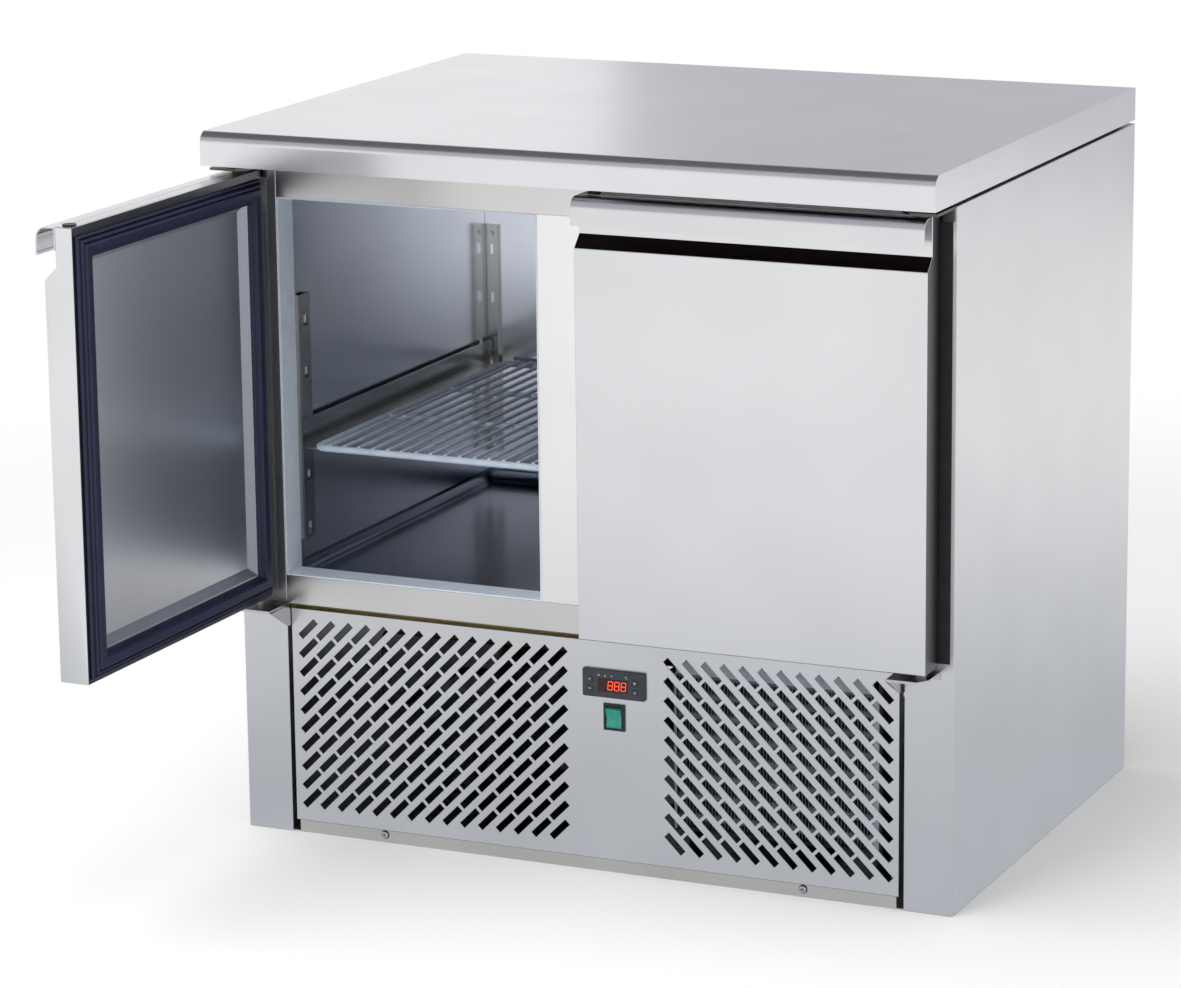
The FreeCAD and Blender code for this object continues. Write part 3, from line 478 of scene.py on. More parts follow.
@dataclass
class Shell:
    """Outer panels, front frame, rails and kick strip."""

    # brushed upwards: tall soft bands of light down each side
    upright_sheet: BrushedStainless = BrushedStainless(
        "brushed_stainless_panel", "#E1E2E4", "#DBDCDE", 0.3, Grain.UP)
    # the palest sheet: an even, almost white post between the doors
    post_sheet: BrushedStainless = BrushedStainless(
        "brushed_stainless_mullion", "#F9F9F7", "#F5F5F3", 0.3, Grain.UP)
    # finely brushed rails: a smooth warm grey that fades along their length
    frame_sheet: BrushedStainless = BrushedStainless(
        "brushed_stainless_frame", "#DFDEDC", "#DAD9D7", 0.28, Grain.ACROSS, relief=0.0,
        swing=0.004)
    # kick strip: a warmer, streaky grey; every upward face of the tray carries painted shade, a
    # dark upper face that reads as a gap
    tray_sheet: BrushedStainless = BrushedStainless(
        "brushed_stainless_tray", "#D9D5D0", "#CFCBC6", 0.28, Grain.ACROSS,
        painted_shades=(PaintedShade("Z", 1.0, "#1C1D1F"),))
    # hot-dipped sheet: cool, dull and finely spangled
    zinc: RolledMetal = RolledMetal("galvanised_sheet", "#BDC1C5", "#A6ABB0", 0.42, 9.0)
    # plated screws: small bright heads
    bolt: RolledMetal = RolledMetal("zinc_plated_screw", "#C9CCD0", "#AEB1B5", 0.25, 8.0)
    # extruded ABS: a cool, pale, slightly glossy edge round each opening
    strip: Plastic = Plastic("extruded_grey_abs", "#D9E3EF", "#D0DAE7", 0.32, 1.53)
    # poured foam: matt straw colour between the walls
    foam: Foam = Foam("polyurethane_foam")
    # painted shade: matt near-black plastic standing in for shade in recesses and gaps, and for the
    # dark reflection on the posts behind the doors
    shadow: Plastic = Plastic("painted_shade_near_black", "#2A2A2C", "#1E1E20", 0.6)

    shade_strip_start: float = 1.0 * MM  # painted shade strips, out from the seal's edge
    shade_strip_end: float = 17.5 * MM
    shade_strip_sunk: float = 0.1 * MM
    shade_strip_thick: float = 0.3 * MM
    shade_strip_chamfer: float = 0.1 * MM
    shade_strip_below: float = 2 * MM  # past the seal's foot
    shade_strip_above: float = 10 * MM  # past the seal's head
    screw_in: float = 117 * MM  # kick strip's screws, in from the grille panel's ends
    screw_rise: float = 4.6 * MM  # their middle above the lowest screw's foot
    cross_long: float = 2.6 * MM  # half lengths of the painted-shade cross's bars
    cross_thin: float = 0.55 * MM
    cross_proud: float = 0.03 * MM
    cross_deep: float = 0.8 * MM
    cross_chamfer: float = 0.2 * MM
    ring_radius: float = 5.0 * MM  # shadow ring round each head
    ring_back: float = 2.7 * MM
    ring_bars: int = 16
    ring_bar: Point = (0.6 * MM, 0.5 * MM, 2.2 * MM)
    line_front: float = 0.4 * MM  # shadow line under the grille panel
    line_back: float = 2.0 * MM
    line_below: float = 0.5 * MM
    line_above: float = 0.05 * MM

    def build(self) -> None:
        """Dress the outer panels and the frame."""
        dress(self.upright_sheet.build(), "left_side_panel", "right_side_panel")
        dress(self.post_sheet.build(), "center_mullion")
        dress(self.frame_sheet.build(), "top_rail", "bottom_rail")
        dress(self.tray_sheet.build(), "base_tray")
        dress(self.zinc.build(), "back_panel", "top_deck")
        dress(self.bolt.build(), "screws")
        self.crosses()
        self.post_shade_strips()
        dress(self.strip.build(), "opening_reveals")
        dress(self.foam.build(), "insulation")

    def post_shade_strips(self) -> None:
        """Lay a thin near-black strip on each post behind the door's hinge edge: painted shade and
        painted reflection of the dark door edge and seal.
        """
        low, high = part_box("right_door_gasket")
        mesh = bmesh.new()
        for hand in (-1, 1):
            near, far = sorted((hand * (high.x + self.shade_strip_start),
                                hand * (high.x + self.shade_strip_end)))
            slab(mesh, (near, high.y - self.shade_strip_sunk, low.z - self.shade_strip_below),
                 (far, high.y + self.shade_strip_thick, high.z + self.shade_strip_above),
                 self.shade_strip_chamfer)
        piece("post_painted_shade_strips", mesh, self.shadow.build(), "cabinet")

    def crosses(self) -> None:
        """Paint shade at each screw, a near-black cross for its recess and a shadow ring round the
        head, and a painted shadow line under the grille.
        """
        low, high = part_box("screws")
        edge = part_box("front_grille")[1].x - self.screw_in
        mesh = bmesh.new()
        z = low.z + self.screw_rise
        bars = ((self.cross_long, self.cross_thin), (self.cross_thin, self.cross_long))
        for x in (-edge, edge):
            for across, up in bars:
                slab(mesh, (x - across, low.y - self.cross_proud, z - up),
                     (x + across, low.y + self.cross_deep, z + up), self.cross_chamfer)
            for n in range(self.ring_bars):
                turn = math.tau * n / self.ring_bars
                spot = Matrix.Translation((x + self.ring_radius * math.cos(turn),
                                           low.y + self.ring_back,
                                           z + self.ring_radius * math.sin(turn)))
                bmesh.ops.create_cube(mesh, size=1.0, matrix=spot @ Matrix.Rotation(-turn, 4, "Y")
                                      @ Matrix.Diagonal((*self.ring_bar, 1.0)))
        low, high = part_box("front_grille")
        slab(mesh, (low.x, low.y + self.line_front, low.z - self.line_below),
             (high.x, low.y + self.line_back, low.z + self.line_above))
        piece("screw_painted_shade", mesh, self.shadow.build(), "cabinet")


@dataclass
class ColdRoom:
    """Inner walls, floor pan, supports, runners and shelves."""

    # bright-rolled: bluish and close to a mirror, so the supports show as soft doubles
    wall: BrushedStainless = BrushedStainless(
        "bright_rolled_liner", "#EEF1F7", "#E8EBF1", 0.22, Grain.BACK, anisotropy=0.2)
    # smoother, and painted darker: painted shade for the deep blue-grey pool under the shelves
    pan: BrushedStainless = BrushedStainless(
        "rolled_floor_pan", "#6F7684", "#686F7D", 0.18, Grain.ACROSS, anisotropy=0.1)
    # pressed strip: a neutral grey, duller than the wall behind it
    support: BrushedStainless = BrushedStainless(
        "pressed_stainless_strip", "#C4C4C2", "#B4B4B2", 0.26, Grain.UP)
    # dipped polythene coat: pale blue-grey with a soft light along each wire
    wire: Plastic = Plastic("polythene_coated_wire", "#C4D0DF", "#B4C1D2", 0.25, 1.51)

    def build(self) -> None:
        """Dress the liner, supports and shelves."""
        dress(self.wall.build(), "liner_left", "liner_right", "liner_back", "liner_ceiling")
        dress(self.pan.build(), "floor_pan")
        dress(self.support.build(), "wall_uprights", "center_uprights", "left_runners",
              "right_runners")
        dress(self.wire.build(), "left_shelf", "right_shelf")


class Side(Enum):
    """Which door, and which way it is handed."""

    LEFT = -1
    RIGHT = 1


@dataclass
class Door:
    """One foamed door: skin, open-hook grip, pressed inner panel and bellows seal."""

    side: Side
    finishes: dict[str, bpy.types.Material]
    # seal section in millimetres, from the outer edge inward and out from the door's back
    section: tuple[Spot, ...] = (
        (0.4, 0.0), (0.0, 1.6), (0.8, 3.4), (2.4, 4.0), (3.8, 3.2), (4.4, 2.4), (5.0, 3.6),
        (5.2, 5.6), (6.2, 7.0), (7.8, 7.2), (8.8, 6.2), (9.4, 5.6), (10.0, 7.2), (10.8, 8.6),
        (12.4, 9.3), (16.5, 9.4), (20.6, 9.3), (22.2, 8.6), (23.0, 7.0), (23.2, 4.6),
        (23.8, 3.4), (25.2, 3.4), (26.6, 2.4), (27.0, 0.0))

    @property
    def body(self) -> str:
        """Name of the body this door is."""
        return f"{self.side.name.lower()}_door"

    def hang(self, mesh: bmesh.types.BMesh) -> None:
        """Move a closed right-hand mesh to where this door hangs at rest.

        Args:
            mesh: geometry drawn on the closed right door.
        """
        if self.side is Side.RIGHT:
            return
        hinge = next(j for j in frame["joints"] if j["name"] == "left_door_hinge")
        pin = Vector(hinge["pos_m"])
        # the left door rests open, and the top of its range is where it is shut
        turn = Matrix.Rotation(-math.radians(hinge["range_deg"][1]), 4, "Z")
        bmesh.ops.transform(mesh, matrix=Matrix.Scale(-1, 4, (1, 0, 0)), verts=mesh.verts)
        bmesh.ops.transform(mesh, verts=mesh.verts,
                            matrix=Matrix.Translation(pin) @ turn @ Matrix.Translation(-pin))

    def seal(self) -> None:
        """Build the bellows seal, mitred at its corners."""
        low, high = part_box("right_door_gasket")
        tall = max(out for _, out in self.section)
        mesh = bmesh.new()
        rings = []
        for inset, out in self.section:
            u, y = inset * MM, low.y + (high.y - low.y) * out / tall
            rings.append([mesh.verts.new(p) for p in (
                (low.x + u, y, low.z + u), (high.x - u, y, low.z + u),
                (high.x - u, y, high.z - u), (low.x + u, y, high.z - u))])
        for a, b in zip(rings, rings[1:] + rings[:1]):
            for n in range(4):
                m = (n + 1) % 4
                mesh.faces.new((a[n], a[m], b[m], b[n]))
        self.hang(mesh)
        made = piece(f"{self.body}_seal", mesh, self.finishes["vinyl"], self.body)
        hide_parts(f"{self.body}_gasket")

    def build(self) -> None:
        """Dress the CAD pieces and add the seal."""
        name = self.body
        dress(self.finishes["skin"], f"{name}_skin")
        dress(self.finishes["grip"], f"{name}_grip")
        dress(self.finishes["panel"], f"{name}_panel")
        dress(self.finishes["foam"], f"{name}_core")
        dress(self.finishes["nylon"], f"{name}_bushes")
        self.seal()


@dataclass
class Doors:
    """Both doors and their hinge brackets."""

    # brushed upwards: a calm, even face, with painted shade dark under the grip's lip and a painted
    # dark reflection grey at the hinge edge
    skin: BrushedStainless = BrushedStainless(
        "brushed_stainless_door", "#E8E9EB", "#E3E4E6", 0.3, Grain.UP,
        painted_shades=(PaintedShade("Z", 0.707, "#2C2420"), PaintedShade("X", 1.0, "#6A6A6E")))
    # brushed along the hook: a crisp light that follows the roll
    grip: BrushedStainless = BrushedStainless(
        "brushed_stainless_grip", "#E3E4E6", "#DDDEE0", 0.24, Grain.ACROSS)
    # pressed panel: soft bright field, its sloping edge a shade darker by painted shade
    panel: BrushedStainless = BrushedStainless(
        "brushed_stainless_inner_door", "#F0F1F5", "#EAEBEF", 0.34, Grain.UP,
        painted_shades=(PaintedShade("Y", -0.63, "#9CA1AA"),))
    # extruded vinyl: deep navy, with dull lights along each bellow
    vinyl: Plastic = Plastic("extruded_grey_vinyl", "#1D2342", "#181D38", 0.4, 1.45)
    # moulded bushes: small, black and matt
    nylon: Plastic = Plastic("moulded_black_nylon", "#1B1B1D", "#121214", 0.45, 1.53)
    # poured foam: matt straw colour inside the door
    foam: Foam = Foam("door_foam")
    # folded plate: bright faces, with painted shade on its dark upper side
    bracket: BrushedStainless = BrushedStainless(
        "pressed_stainless_bracket", "#D6D6D6", "#C8C8C8", 0.25, Grain.ACROSS,
        painted_shades=(PaintedShade("Z", 1.0, "#2E3034"),))
    # plate painted a dull dark grey: painted shade for the top hinges in the shade of the worktop
    shaded_hinge_plate: BrushedStainless = BrushedStainless(
        "painted_shade_hinge_bracket", "#6E6A66", "#5C5855", 0.35, Grain.ACROSS)

    plate_thick: float = 3.0 * MM
    plate_drop: float = 18.5 * MM  # underside of the bottom plate, below the top of its pin
    plate_wide: float = 47.5 * MM
    plate_lean: float = 2 * MM  # how far the inner edge runs outward to the front
    corner_in: float = 9 * MM  # cut corner of the plate
    corner_back: float = 14.0 * MM
    fold: float = 2.5 * MM  # thickness of the gusset and the flange
    gusset_foot: float = 6 * MM
    gusset_back: float = 2 * MM
    wall_foot: float = 6.0 * MM  # height of the flange on the post
    pin_in: float = 15.5 * MM
    pin_back: float = 30 * MM
    pin_radius: float = 3.9 * MM
    washer_radius: float = 7.0 * MM
    washer_tall: float = 6.2 * MM
    round_sides: int = 24

    def build(self) -> None:
        """Build both doors and dress the brackets."""
        names = ("skin", "grip", "panel", "vinyl", "nylon", "foam")
        finishes = {n: getattr(self, n).build() for n in names}
        for side in Side:
            Door(side, finishes).build()
        dress(self.shaded_hinge_plate.build(), "top_hinges")
        self.bottom_brackets()

    def bottom_brackets(self) -> None:
        """Fold the two lower brackets: tapered plate, gusset, short flange, pin and washer."""
        low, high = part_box("bottom_hinges")
        top = high.z - self.plate_drop
        foot, front, back = top - self.plate_thick, low.y, high.y
        inner, outer = high.x - self.plate_wide, high.x
        mesh = bmesh.new()
        for hand in (-1, 1):
            plate(mesh, [(inner, back, foot), (inner + self.plate_lean, front, foot),
                         (outer - self.corner_in, front, foot),
                         (outer, front + self.corner_back, foot), (outer, back, foot)],
                  (0, 0, self.plate_thick), hand)
            plate(mesh, [(inner, back, foot), (inner, front + self.gusset_back, foot),
                         (inner, back - self.gusset_foot, low.z), (inner, back, low.z)],
                  (self.fold, 0, 0), hand)
            plate(mesh, [(inner, back, foot - self.wall_foot), (outer, back, foot - self.wall_foot),
                         (outer, back, foot), (inner, back, foot)], (0, -self.fold, 0), hand)
            for radius, start, end in ((self.washer_radius, top, top + self.washer_tall),
                                       (self.pin_radius, foot, high.z)):
                spot = Matrix.Translation((hand * (outer - self.pin_in), front + self.pin_back,
                                           (start + end) / 2))
                bmesh.ops.create_cone(mesh, cap_ends=True, segments=self.round_sides,
                                      radius1=radius, radius2=radius, depth=end - start,
                                      matrix=spot)
        made = piece("bottom_hinge_brackets", mesh, self.bracket.build(), "cabinet", smooth=True)
        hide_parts("bottom_hinges")


@dataclass
class MachineFront:
    """Slotted grille."""

    # brushed along its width: an even mid grey that sets off the black slots
    sheet: BrushedStainless = BrushedStainless(
        "brushed_stainless_grille", "#DEDFE1", "#D9DADC", 0.3, Grain.ACROSS)

    def build(self) -> None:
        """Dress the grille."""
        dress(self.sheet.build(), "front_grille")


@dataclass
class Controls:
    """Thermostat with lit figures, four keys and the lit green rocker."""

    # moulded ABS: dark blue-grey, without glare
    case: Plastic = Plastic("moulded_grey_abs", "#34363E", "#2D2F37", 0.45, 1.54)
    # rubbery keys: matt and a shade paler than the case
    key: Plastic = Plastic("moulded_key_rubber", "#3A3B43", "#303138", 0.5, 1.5)
    # smoked acrylic: almost black, deep red and glossy
    window: Plastic = Plastic("smoked_red_acrylic", "#3A1210", "#2A0C0B", 0.08, 1.49)
    # glass-filled nylon: a plain black rim round the rocker
    housing: Plastic = Plastic("moulded_black_nylon_frame", "#17181A", "#101113", 0.4, 1.53)
    # polycarbonate with a lamp behind: blue-green, glowing a little
    rocker: LitPlastic = LitPlastic("green_polycarbonate", "#1F8A78", "#17705F", 0.25)
    # lit bars: a warm orange that stands out from the window
    segment: LitPlastic = LitPlastic("lit_orange_segment", "#F2542A", "#E84A1C", 0.8)
    # pad-printed ink: fine pale grey signs
    legend: Plastic = Plastic("printed_white_ink", "#D8DADC", "#C8CACC", 0.5)

    figures_count: int = 3
    figure_wide: float = 5.6 * MM
    figure_tall: float = 10.0 * MM
    figure_pitch: float = 8.3 * MM
    figure_side: float = 2.6 * MM  # last figure, in from the window's edge
    figure_lean: float = 0.1
    figure_proud: float = 0.06 * MM
    stroke: float = 1.0 * MM
    stroke_deep: float = 0.25 * MM
    line: float = 0.55 * MM  # width of a printed line
    ink_deep: float = 0.1 * MM
    ink_proud: float = 0.05 * MM
    arc_bars: int = 10
    lamp_rise: float = 4.2 * MM  # lamps' signs above the window
    star_at: tuple[float, ...] = (1 * MM, 9 * MM, 17 * MM)
    star_arm: float = 1.1 * MM
    degree_at: Spot = (3.4 * MM, 0.9 * MM)  # in from the window's edge, and up
    degree_radius: float = 0.7 * MM
    unit_at: Spot = (0.8 * MM, 0.1 * MM)  # in from the window's edge, and down
    unit_radius: float = 1.5 * MM
    unit_arc: Spot = (45, 315)
    arrow_half: float = 1.4 * MM
    arrow_lap: float = 0.2 * MM
    arrow_foot: float = 0.6 * MM
    arrow_tip: float = 1.0 * MM
    bars_half: float = 1.5 * MM
    bars_pitch: float = 1.0 * MM
    standby_radius: float = 1.3 * MM
    standby_drop: float = 0.1 * MM
    standby_arc: Spot = (120, 420)
    standby_bar: Spot = (0.3 * MM, 1.8 * MM)

    def build(self) -> None:
        """Dress the housings and add the figures and signs."""
        dress(self.case.build(), "controller_housing")
        dress(self.window.build(), "controller_display")
        dress(self.key.build(), *(f"controller_key_{n}" for n in range(1, 5)))
        dress(self.housing.build(), "switch_housing")
        dress(self.rocker.build(), "power_rocker")
        self.figures()
        ink = self.legend.build()
        self.lamp_signs(ink)
        for n in range(1, 5):
            self.key_sign(n, ink)

    def bar(self, mesh: bmesh.types.BMesh, a: Spot, b: Spot, front: float,
            wide: float | None = None, deep: float | None = None) -> None:
        """Add a flat bar with pointed ends, facing the front.

        Args:
            mesh: the bmesh it goes into.
            a: its start, X and Z in metres.
            b: its end.
            front: the Y of its front face.
            wide: its width, or a printed line's.
            deep: how far it goes back, or as deep as ink.
        """
        wide = self.line if wide is None else wide
        deep = self.ink_deep if deep is None else deep
        start, end = Vector(a), Vector(b)
        way = (end - start).normalized()
        side = Vector((-way.y, way.x)) * wide / 2
        tip = way * wide / 2
        outline = (start, start + tip + side, end - tip + side, end, end - tip - side,
                   start + tip - side)
        join_ends(mesh, *([mesh.verts.new((p.x, y, p.y)) for p in outline]
                          for y in (front, front + deep)))

    def ring(self, mesh: bmesh.types.BMesh, centre: Spot, radius: float, front: float,
             arc: Spot = (0.0, 360.0)) -> None:
        """Add a printed ring or an open arc of short bars.

        Args:
            mesh: the bmesh it goes into.
            centre: its middle, X and Z.
            radius: its radius.
            front: the Y of its front face.
            arc: its first and last angle in degrees.
        """
        start, end = arc
        turns = [math.radians(start + (end - start) * n / self.arc_bars)
                 for n in range(self.arc_bars + 1)]
        spots = [(centre[0] + radius * math.cos(t), centre[1] + radius * math.sin(t))
                 for t in turns]
        for a, b in zip(spots, spots[1:]):
            self.bar(mesh, a, b, front)

    def figures(self) -> None:
        """Light three seven-bar figures behind the window, leaning a little to the right."""
        low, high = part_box("controller_display")
        wide, tall, lean = self.figure_wide, self.figure_tall, self.figure_lean
        foot = (low.z + high.z) / 2 - tall / 2
        mesh = bmesh.new()
        for n in range(self.figures_count):
            x = (high.x - self.figure_side - wide
                 - (self.figures_count - 1 - n) * self.figure_pitch)
            corner = [[(x + c * wide + lean * r * tall / 2, foot + r * tall / 2) for c in (0, 1)]
                      for r in (0, 1, 2)]
            bars = [(corner[r][0], corner[r][1]) for r in (0, 1, 2)]
            bars += [(corner[r][c], corner[r + 1][c]) for r in (0, 1) for c in (0, 1)]
            for a, b in bars:
                self.bar(mesh, a, b, low.y - self.figure_proud, self.stroke, self.stroke_deep)
        piece("lit_figures", mesh, self.segment.build(), "cabinet")

    def lamp_signs(self, ink: bpy.types.Material) -> None:
        """Print three stars and a degree sign over the window.

        Args:
            ink: the printed finish.
        """
        low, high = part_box("controller_display")
        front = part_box("controller_housing")[0].y - self.ink_proud
        z = high.z + self.lamp_rise
        mesh = bmesh.new()
        for x in (low.x + at for at in self.star_at):
            for k in range(3):
                turn = math.pi * k / 3
                dx, dz = self.star_arm * math.cos(turn), self.star_arm * math.sin(turn)
                self.bar(mesh, (x - dx, z - dz), (x + dx, z + dz), front)
        self.ring(mesh, (high.x - self.degree_at[0], z + self.degree_at[1]), self.degree_radius,
                  front)
        self.ring(mesh, (high.x - self.unit_at[0], z - self.unit_at[1]), self.unit_radius, front,
                  self.unit_arc)
        piece("lamp_signs", mesh, ink, "cabinet")

    def key_sign(self, number: int, ink: bpy.types.Material) -> None:
        """Print one key's sign: arrow up, arrow down, three bars, or a standby ring.

        Args:
            number: the key, 1 to 4.
            ink: the printed finish.
        """
        low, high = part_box(f"controller_key_{number}")
        x, z, face = (low.x + high.x) / 2, (low.z + high.z) / 2, low.y - self.ink_proud
        mesh = bmesh.new()
        if number in (1, 2):
            up = 1 if number == 1 else -1
            for hand in (-1, 1):
                self.bar(mesh, (x + hand * self.arrow_half, z - up * self.arrow_foot),
                         (x - hand * self.arrow_lap, z + up * self.arrow_tip), face)
        elif number == 3:
            for step in (-1, 0, 1):
                level = z + step * self.bars_pitch
                self.bar(mesh, (x - self.bars_half, level), (x + self.bars_half, level), face)
        else:
            self.ring(mesh, (x, z - self.standby_drop), self.standby_radius, face,
                      self.standby_arc)
            foot, head = self.standby_bar
            self.bar(mesh, (x, z + foot), (x, z + head), face)
        piece(f"key_sign_{number}", mesh, ink, f"key_{number}")


@dataclass
class Machinery:
    """Condensing unit behind the grille and the evaporator in the cold room."""

    # hot-dipped tray: cool and clouded
    galvanised: RolledMetal = RolledMetal("galvanised_frame", "#D0D3D6", "#B4B8BC", 0.4, 30.0)
    # powder coat: pale blue-grey strips that catch light behind the slots
    coated: Plastic = Plastic("pale_powder_coat", "#C3CEDD", "#B4C0D0", 0.35)
    # near-black frame: painted shade, so the frame behind the slots reads dark and the fins stand
    # out
    dark_frame: Plastic = Plastic("painted_shade_black_frame", "#1B1C1F", "#141517", 0.5)
    # pressed fins: a dull mid grey
    fins: RolledMetal = RolledMetal("pressed_aluminium_fin", "#9A9CA0", "#83858A", 0.4, 12.0)
    # drawn tube painted dark brown with a warm edge: painted shade for the dim space behind the
    # grille
    copper: RolledMetal = RolledMetal("drawn_copper_tube", "#5A3B2C", "#40281D", 0.4, 15.0)
    # oxidised tube rows: grey bars with a soft light along each
    tube: Plastic = Plastic("oxidised_aluminium_tube", "#74787E", "#5C6066", 0.25, 1.6)
    # stoved enamel: glossy black with an orange-peel skin
    enamel: Plastic = Plastic("black_stoved_enamel", "#1D1E20", "#151618", 0.3, 1.5, 3.0, 0.15)
    # moulded blades: satin dark grey
    blade: Plastic = Plastic("moulded_grey_polypropylene", "#3A3C40", "#2E3033", 0.45)
    # rubber feet: dead matt black
    rubber: Plastic = Plastic("black_rubber", "#161616", "#0E0E0E", 0.75, 1.52)
    # enamelled cover: clean off-white with a soft gloss
    cover: Plastic = Plastic("white_enamelled_sheet", "#C9CED4", "#BEC3C9", 0.35)
    # moulded gland: small, black, slightly shiny
    gland: Plastic = Plastic("moulded_gland", "#222326", "#18191B", 0.5)

    strip_wide: float = 7.0 * MM  # edge strip at the far end
    strip_tall: float = 16.0 * MM  # edge strip along the top
    strip_thin: float = 2.2 * MM  # edge strip at the near end
    strip_lap: float = 1.0 * MM
    strip_proud: float = 0.4 * MM
    strip_thick: float = 1.2 * MM
    strip_chamfer: float = 0.2 * MM
    row_pitch: float = 24.5 * MM
    row_foot: float = 14 * MM  # first row above the fins' foot
    row_head: float = 10 * MM  # least space above the last row
    tube_radius: float = 4.8 * MM
    tube_proud: float = 1.0 * MM  # how far the rows stand out from the fins
    tube_short: float = 4 * MM  # shorter than the fins, both ends together
    tube_sides: int = 14

    def build(self) -> None:
        """Dress the machine pieces."""
        dress(self.galvanised.build(), "condensate_tray")
        dress(self.dark_frame.build(), "condenser_frame")
        dress(self.fins.build(), "condenser_fins", "evaporator_coil")
        dress(self.copper.build(), "refrigerant_lines", "filter_drier")
        dress(self.enamel.build(), "compressor", "fan_motor")
        dress(self.blade.build(), "fan_blade", "evaporator_fan")
        dress(self.rubber.build(), "compressor_mounts")
        dress(self.cover.build(), "evaporator_cover")
        dress(self.gland.build(), "cord_gland")
        self.coil_tubes()
        self.edge_strips()

    def edge_strips(self) -> None:
        """Add the pale strips that close the condenser's ends and top."""
        low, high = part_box("condenser_fins")
        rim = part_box("condenser_frame")
        front, top = rim[0].y - self.strip_proud, rim[1].z
        back = front + self.strip_thick
        start = low.x - self.strip_lap
        mesh = bmesh.new()
        for near, far, foot in ((start, low.x + self.strip_thin, low.z),
                                (high.x - self.strip_wide, high.x, low.z),
                                (start, high.x, top - self.strip_tall)):
            slab(mesh, (near, front, foot), (far, back, top), self.strip_chamfer)
        piece("condenser_edge_strips", mesh, self.coated.build(), "cabinet")

    def coil_tubes(self) -> None:
        """Add the condenser's straight rows of tube."""
        low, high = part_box("condenser_fins")
        mesh = bmesh.new()
        y, z = low.y + self.tube_radius - self.tube_proud, low.z + self.row_foot
        rows = int((high.z - self.row_head - z) / self.row_pitch) + 1
        turn = Matrix.Rotation(math.pi / 2, 4, "Y")
        length = high.x - low.x - self.tube_short
        for row in range(rows):
            spot = Matrix.Translation(((low.x + high.x) / 2, y, z + row * self.row_pitch)) @ turn
            bmesh.ops.create_cone(mesh, segments=self.tube_sides, radius1=self.tube_radius,
                                  radius2=self.tube_radius, depth=length, matrix=spot)
        piece("condenser_tube_rows", mesh, self.tube.build(), "cabinet", smooth=True)


# -------------------- studio
@dataclass(frozen=True)
class Card:
    """Grey card that only the steel mirrors."""

    name: str
    centre: Point
    facing: Point
    size: Spot
    grey: str

    def build(self) -> None:
        """Stand the card up, hidden from all but glossy rays."""
        mesh = bmesh.new()
        bmesh.ops.create_grid(mesh, x_segments=1, y_segments=1, size=0.5)
        look = (Vector(self.facing) - Vector(self.centre)).to_track_quat("Z", "Y")
        place = Matrix.LocRotScale(Vector(self.centre), look, Vector((*self.size, 1.0)))
        bmesh.ops.transform(mesh, matrix=place, verts=mesh.verts)
        data = bpy.data.meshes.new(self.name)
        mesh.to_mesh(data)
        mesh.free()
        made, tree, out = blank(f"{self.name}_paint")
        paint = add(tree, "Emission", {0: linear(self.grey), 1: 1.0})
        tree.links.new(paint.outputs[0], out.inputs[0])
        data.materials.append(made)
        card = bpy.data.objects.new(self.name, data)
        bpy.context.scene.collection.objects.link(card)
        card.visible_camera = card.visible_diffuse = False
        card.visible_shadow = card.visible_transmission = False


@dataclass(frozen=True)
class Softbox:
    """Square lamp that the steel doesn't mirror."""

    name: str
    at: Point
    aim: Point
    size: float
    watts: float

    def build(self) -> None:
        """Hang the lamp."""
        data = bpy.data.lights.new(self.name, "AREA")
        data.shape, data.size, data.energy = "SQUARE", self.size, self.watts
        lamp = bpy.data.objects.new(self.name, data)
        bpy.context.scene.collection.objects.link(lamp)
        lamp.location = self.at
        way = Vector(self.aim) - Vector(self.at)
        lamp.rotation_euler = way.to_track_quat("-Z", "Y").to_euler()
        lamp.visible_glossy = False


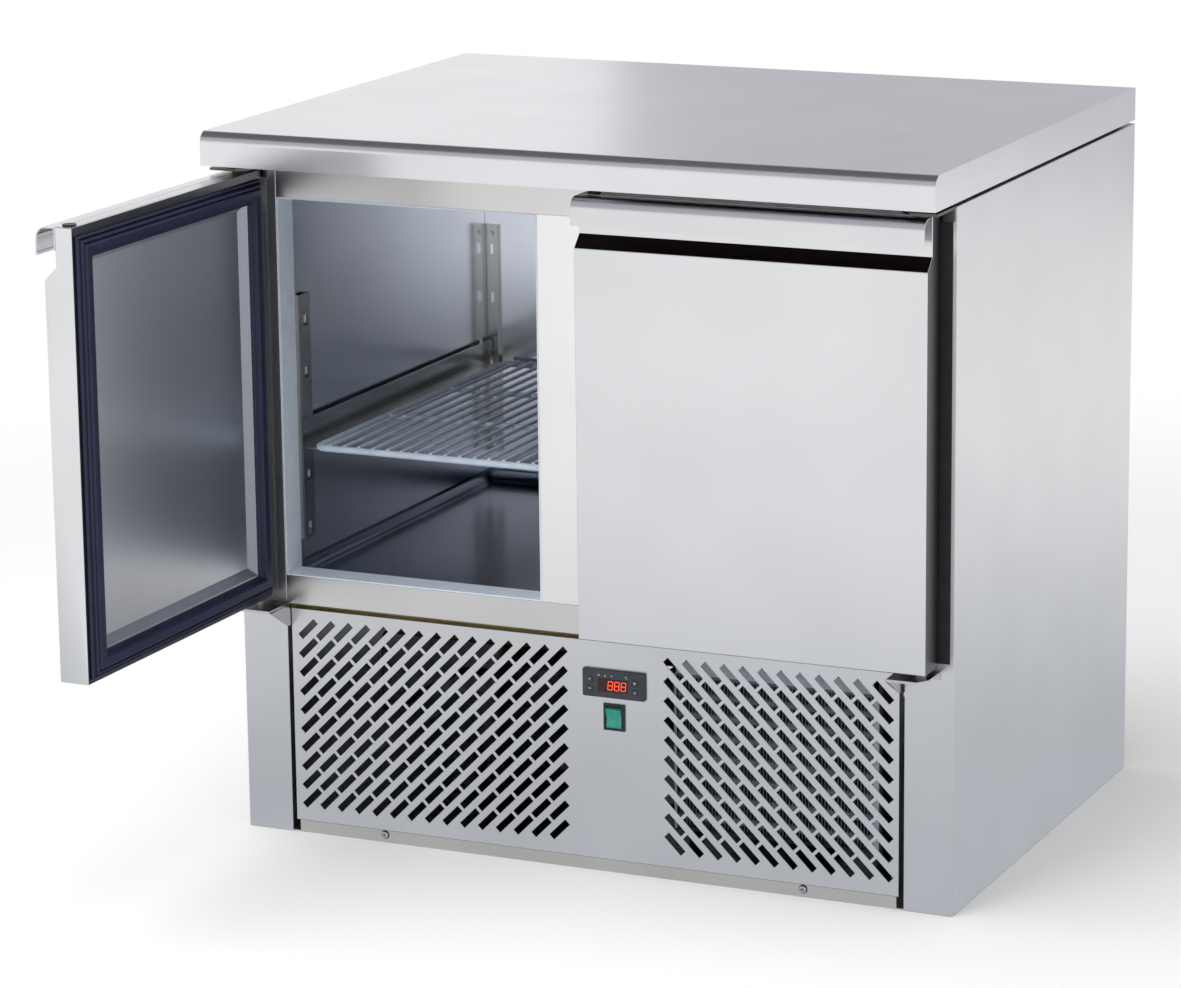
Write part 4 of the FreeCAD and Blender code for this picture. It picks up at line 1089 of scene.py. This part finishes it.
@dataclass
class Studio:
    """Pale floor, soft lamps, grey cards for the steel to mirror, and the camera."""

    stand: Point = (2.0935, -4.8507, 1.6519)
    turn_left: float = 24.53
    look_down: float = 13.43
    roll: float = -0.658
    lens: float = 137.56
    sensor: float = 36.0
    far_clip: float = 100.0
    bounces: int = 8  # enough for the cold room's walls to mirror each other
    ambient: float = 0.62
    floor_size: float = 60.0
    fade_start: float = 1.2  # where the floor begins to fade to white
    fade_end: float = 2.6
    mat_inner: float = 0.5
    mat_outer: float = 2.6
    mat_grey: str = "#C8CBD0"
    lamps: tuple[Softbox, ...] = (
        Softbox("overhead_softbox", (-0.6, -0.8, 3.4), (0, 0, 0.4), 2.6, 70),
        Softbox("front_softbox", (-1.2, -4.2, 2.4), (0, 0, 0.4), 2.2, 40))
    cards: tuple[Card, ...] = (
        # worktop seen at a low angle
        Card("back_card", (1.1, 4.5, 2.0), (1.1, 0, 2.0), (6.4, 4.4), "#CBCACF"),
        # the roll of the nose and of the grips
        Card("ceiling_card", (0.0, 0.6, 3.4), (0, 0.6, 0.8), (7.0, 5.6), "#66666A"),
        # fronts of the doors, rails and grille
        Card("front_card", (-1.6, -3.9, 3.1), (0, -0.35, 0.85), (8.0, 3.0), "#BDBDC1"),
        # side wall of the cold room, near the back and near the front
        Card("upright_card", (-0.012, -0.232, 0.52), (-0.012, 0.0, 0.52), (0.09, 0.40),
             "#D2D4DA"),
        Card("cold_room_card", (0.21, -0.232, 0.50), (0.21, 0.0, 0.50), (0.34, 0.36),
             "#8E9199"))

    def world(self) -> None:
        """Even white surroundings, softer where they light matt surfaces."""
        world = bpy.data.worlds.new("white_surroundings")
        world.use_nodes = True
        tree = world.node_tree
        tree.nodes.clear()
        path = add(tree, "LightPath")
        seen = path.outputs["Is Camera Ray"]
        for ray in ("Is Glossy Ray", "Is Transmission Ray"):
            seen = add(tree, "Math", {0: seen, 1: path.outputs[ray]},
                       operation="MAXIMUM").outputs[0]
        level = add(tree, "MapRange", {0: seen, 3: self.ambient, 4: 1.0})
        sky = add(tree, "Background", {0: WHITE, 1: level.outputs[0]})
        out = add(tree, "OutputWorld", {0: sky.outputs[0]})
        out.is_active_output = True
        bpy.context.scene.world = world

    def floor(self) -> None:
        """Large matt floor that takes the shadow and fades to white far off."""
        mesh = bmesh.new()
        bmesh.ops.create_grid(mesh, x_segments=1, y_segments=1, size=self.floor_size / 2)
        data = bpy.data.meshes.new("floor")
        mesh.to_mesh(data)
        mesh.free()
        made, tree, out = blank("matt_white_floor")
        place = add(tree, "TexCoord").outputs["Object"]
        away = add(tree, "VectorMath", {0: place}, operation="LENGTH").outputs["Value"]
        far = add(tree, "MapRange", {0: away, 1: self.fade_start, 2: self.fade_end, 3: 0.0, 4: 1.0},
                  interpolation_type="SMOOTHSTEP")
        matt = add(tree, "BsdfDiffuse", {0: linear("#FAFAFA")})
        white = add(tree, "Emission", {0: WHITE, 1: 1.0})
        path = add(tree, "LightPath")
        share = add(tree, "Math", {0: far.outputs[0], 1: path.outputs["Is Camera Ray"]},
                    operation="MULTIPLY")
        mixed = add(tree, "MixShader",
                    {0: share.outputs[0], 1: matt.outputs[0], 2: white.outputs[0]})
        # a grey mat round the foot of the counter, which only the steel mirrors
        mat = add(tree, "MapRange", {0: away, 1: self.mat_inner, 2: self.mat_outer, 3: 0.0, 4: 1.0},
                  interpolation_type="SMOOTHSTEP")
        tone = add(tree, "Mix", {0: mat.outputs[0], 6: linear(self.mat_grey), 7: WHITE},
                   data_type="RGBA")
        mirrored = add(tree, "Emission", {0: tone.outputs[2], 1: 1.0})
        final = add(tree, "MixShader", {0: path.outputs["Is Glossy Ray"], 1: mixed.outputs[0],
                                        2: mirrored.outputs[0]})
        tree.links.new(final.outputs[0], out.inputs[0])
        data.materials.append(made)
        floor = bpy.data.objects.new("floor", data)
        bpy.context.scene.collection.objects.link(floor)

    def camera(self) -> None:
        """Stand the camera at the front right, a little above the worktop."""
        data = bpy.data.cameras.new("camera")
        data.lens, data.sensor_width, data.clip_end = self.lens, self.sensor, self.far_clip
        camera = bpy.data.objects.new("camera", data)
        bpy.context.scene.collection.objects.link(camera)
        turn = (Matrix.Rotation(math.radians(self.turn_left), 4, "Z")
                @ Matrix.Rotation(math.radians(90 - self.look_down), 4, "X")
                @ Matrix.Rotation(math.radians(self.roll), 4, "Z"))
        camera.matrix_world = Matrix.Translation(self.stand) @ turn
        bpy.context.scene.camera = camera

    def build(self) -> None:
        """Set up everything round the counter."""
        self.world()
        self.floor()
        for thing in (*self.lamps, *self.cards):
            thing.build()
        self.camera()
        bpy.context.scene.cycles.glossy_bounces = self.bounces
        bpy.context.scene.view_settings.view_transform = "Standard"


def main() -> None:
    """Build every sub-assembly in order."""
    logging.basicConfig(level=logging.INFO, format="%(message)s")
    Studio().build()
    for part in (Worktop(), Shell(), ColdRoom(), Doors(), MachineFront(), Controls(), Machinery()):
        part.build()
        log.info("finished %s", type(part).__name__)
    soften(FOLD_RADIUS, "left_door_skin", "right_door_skin", "left_side_panel", "right_side_panel")


if __name__ == "__main__":
    main()
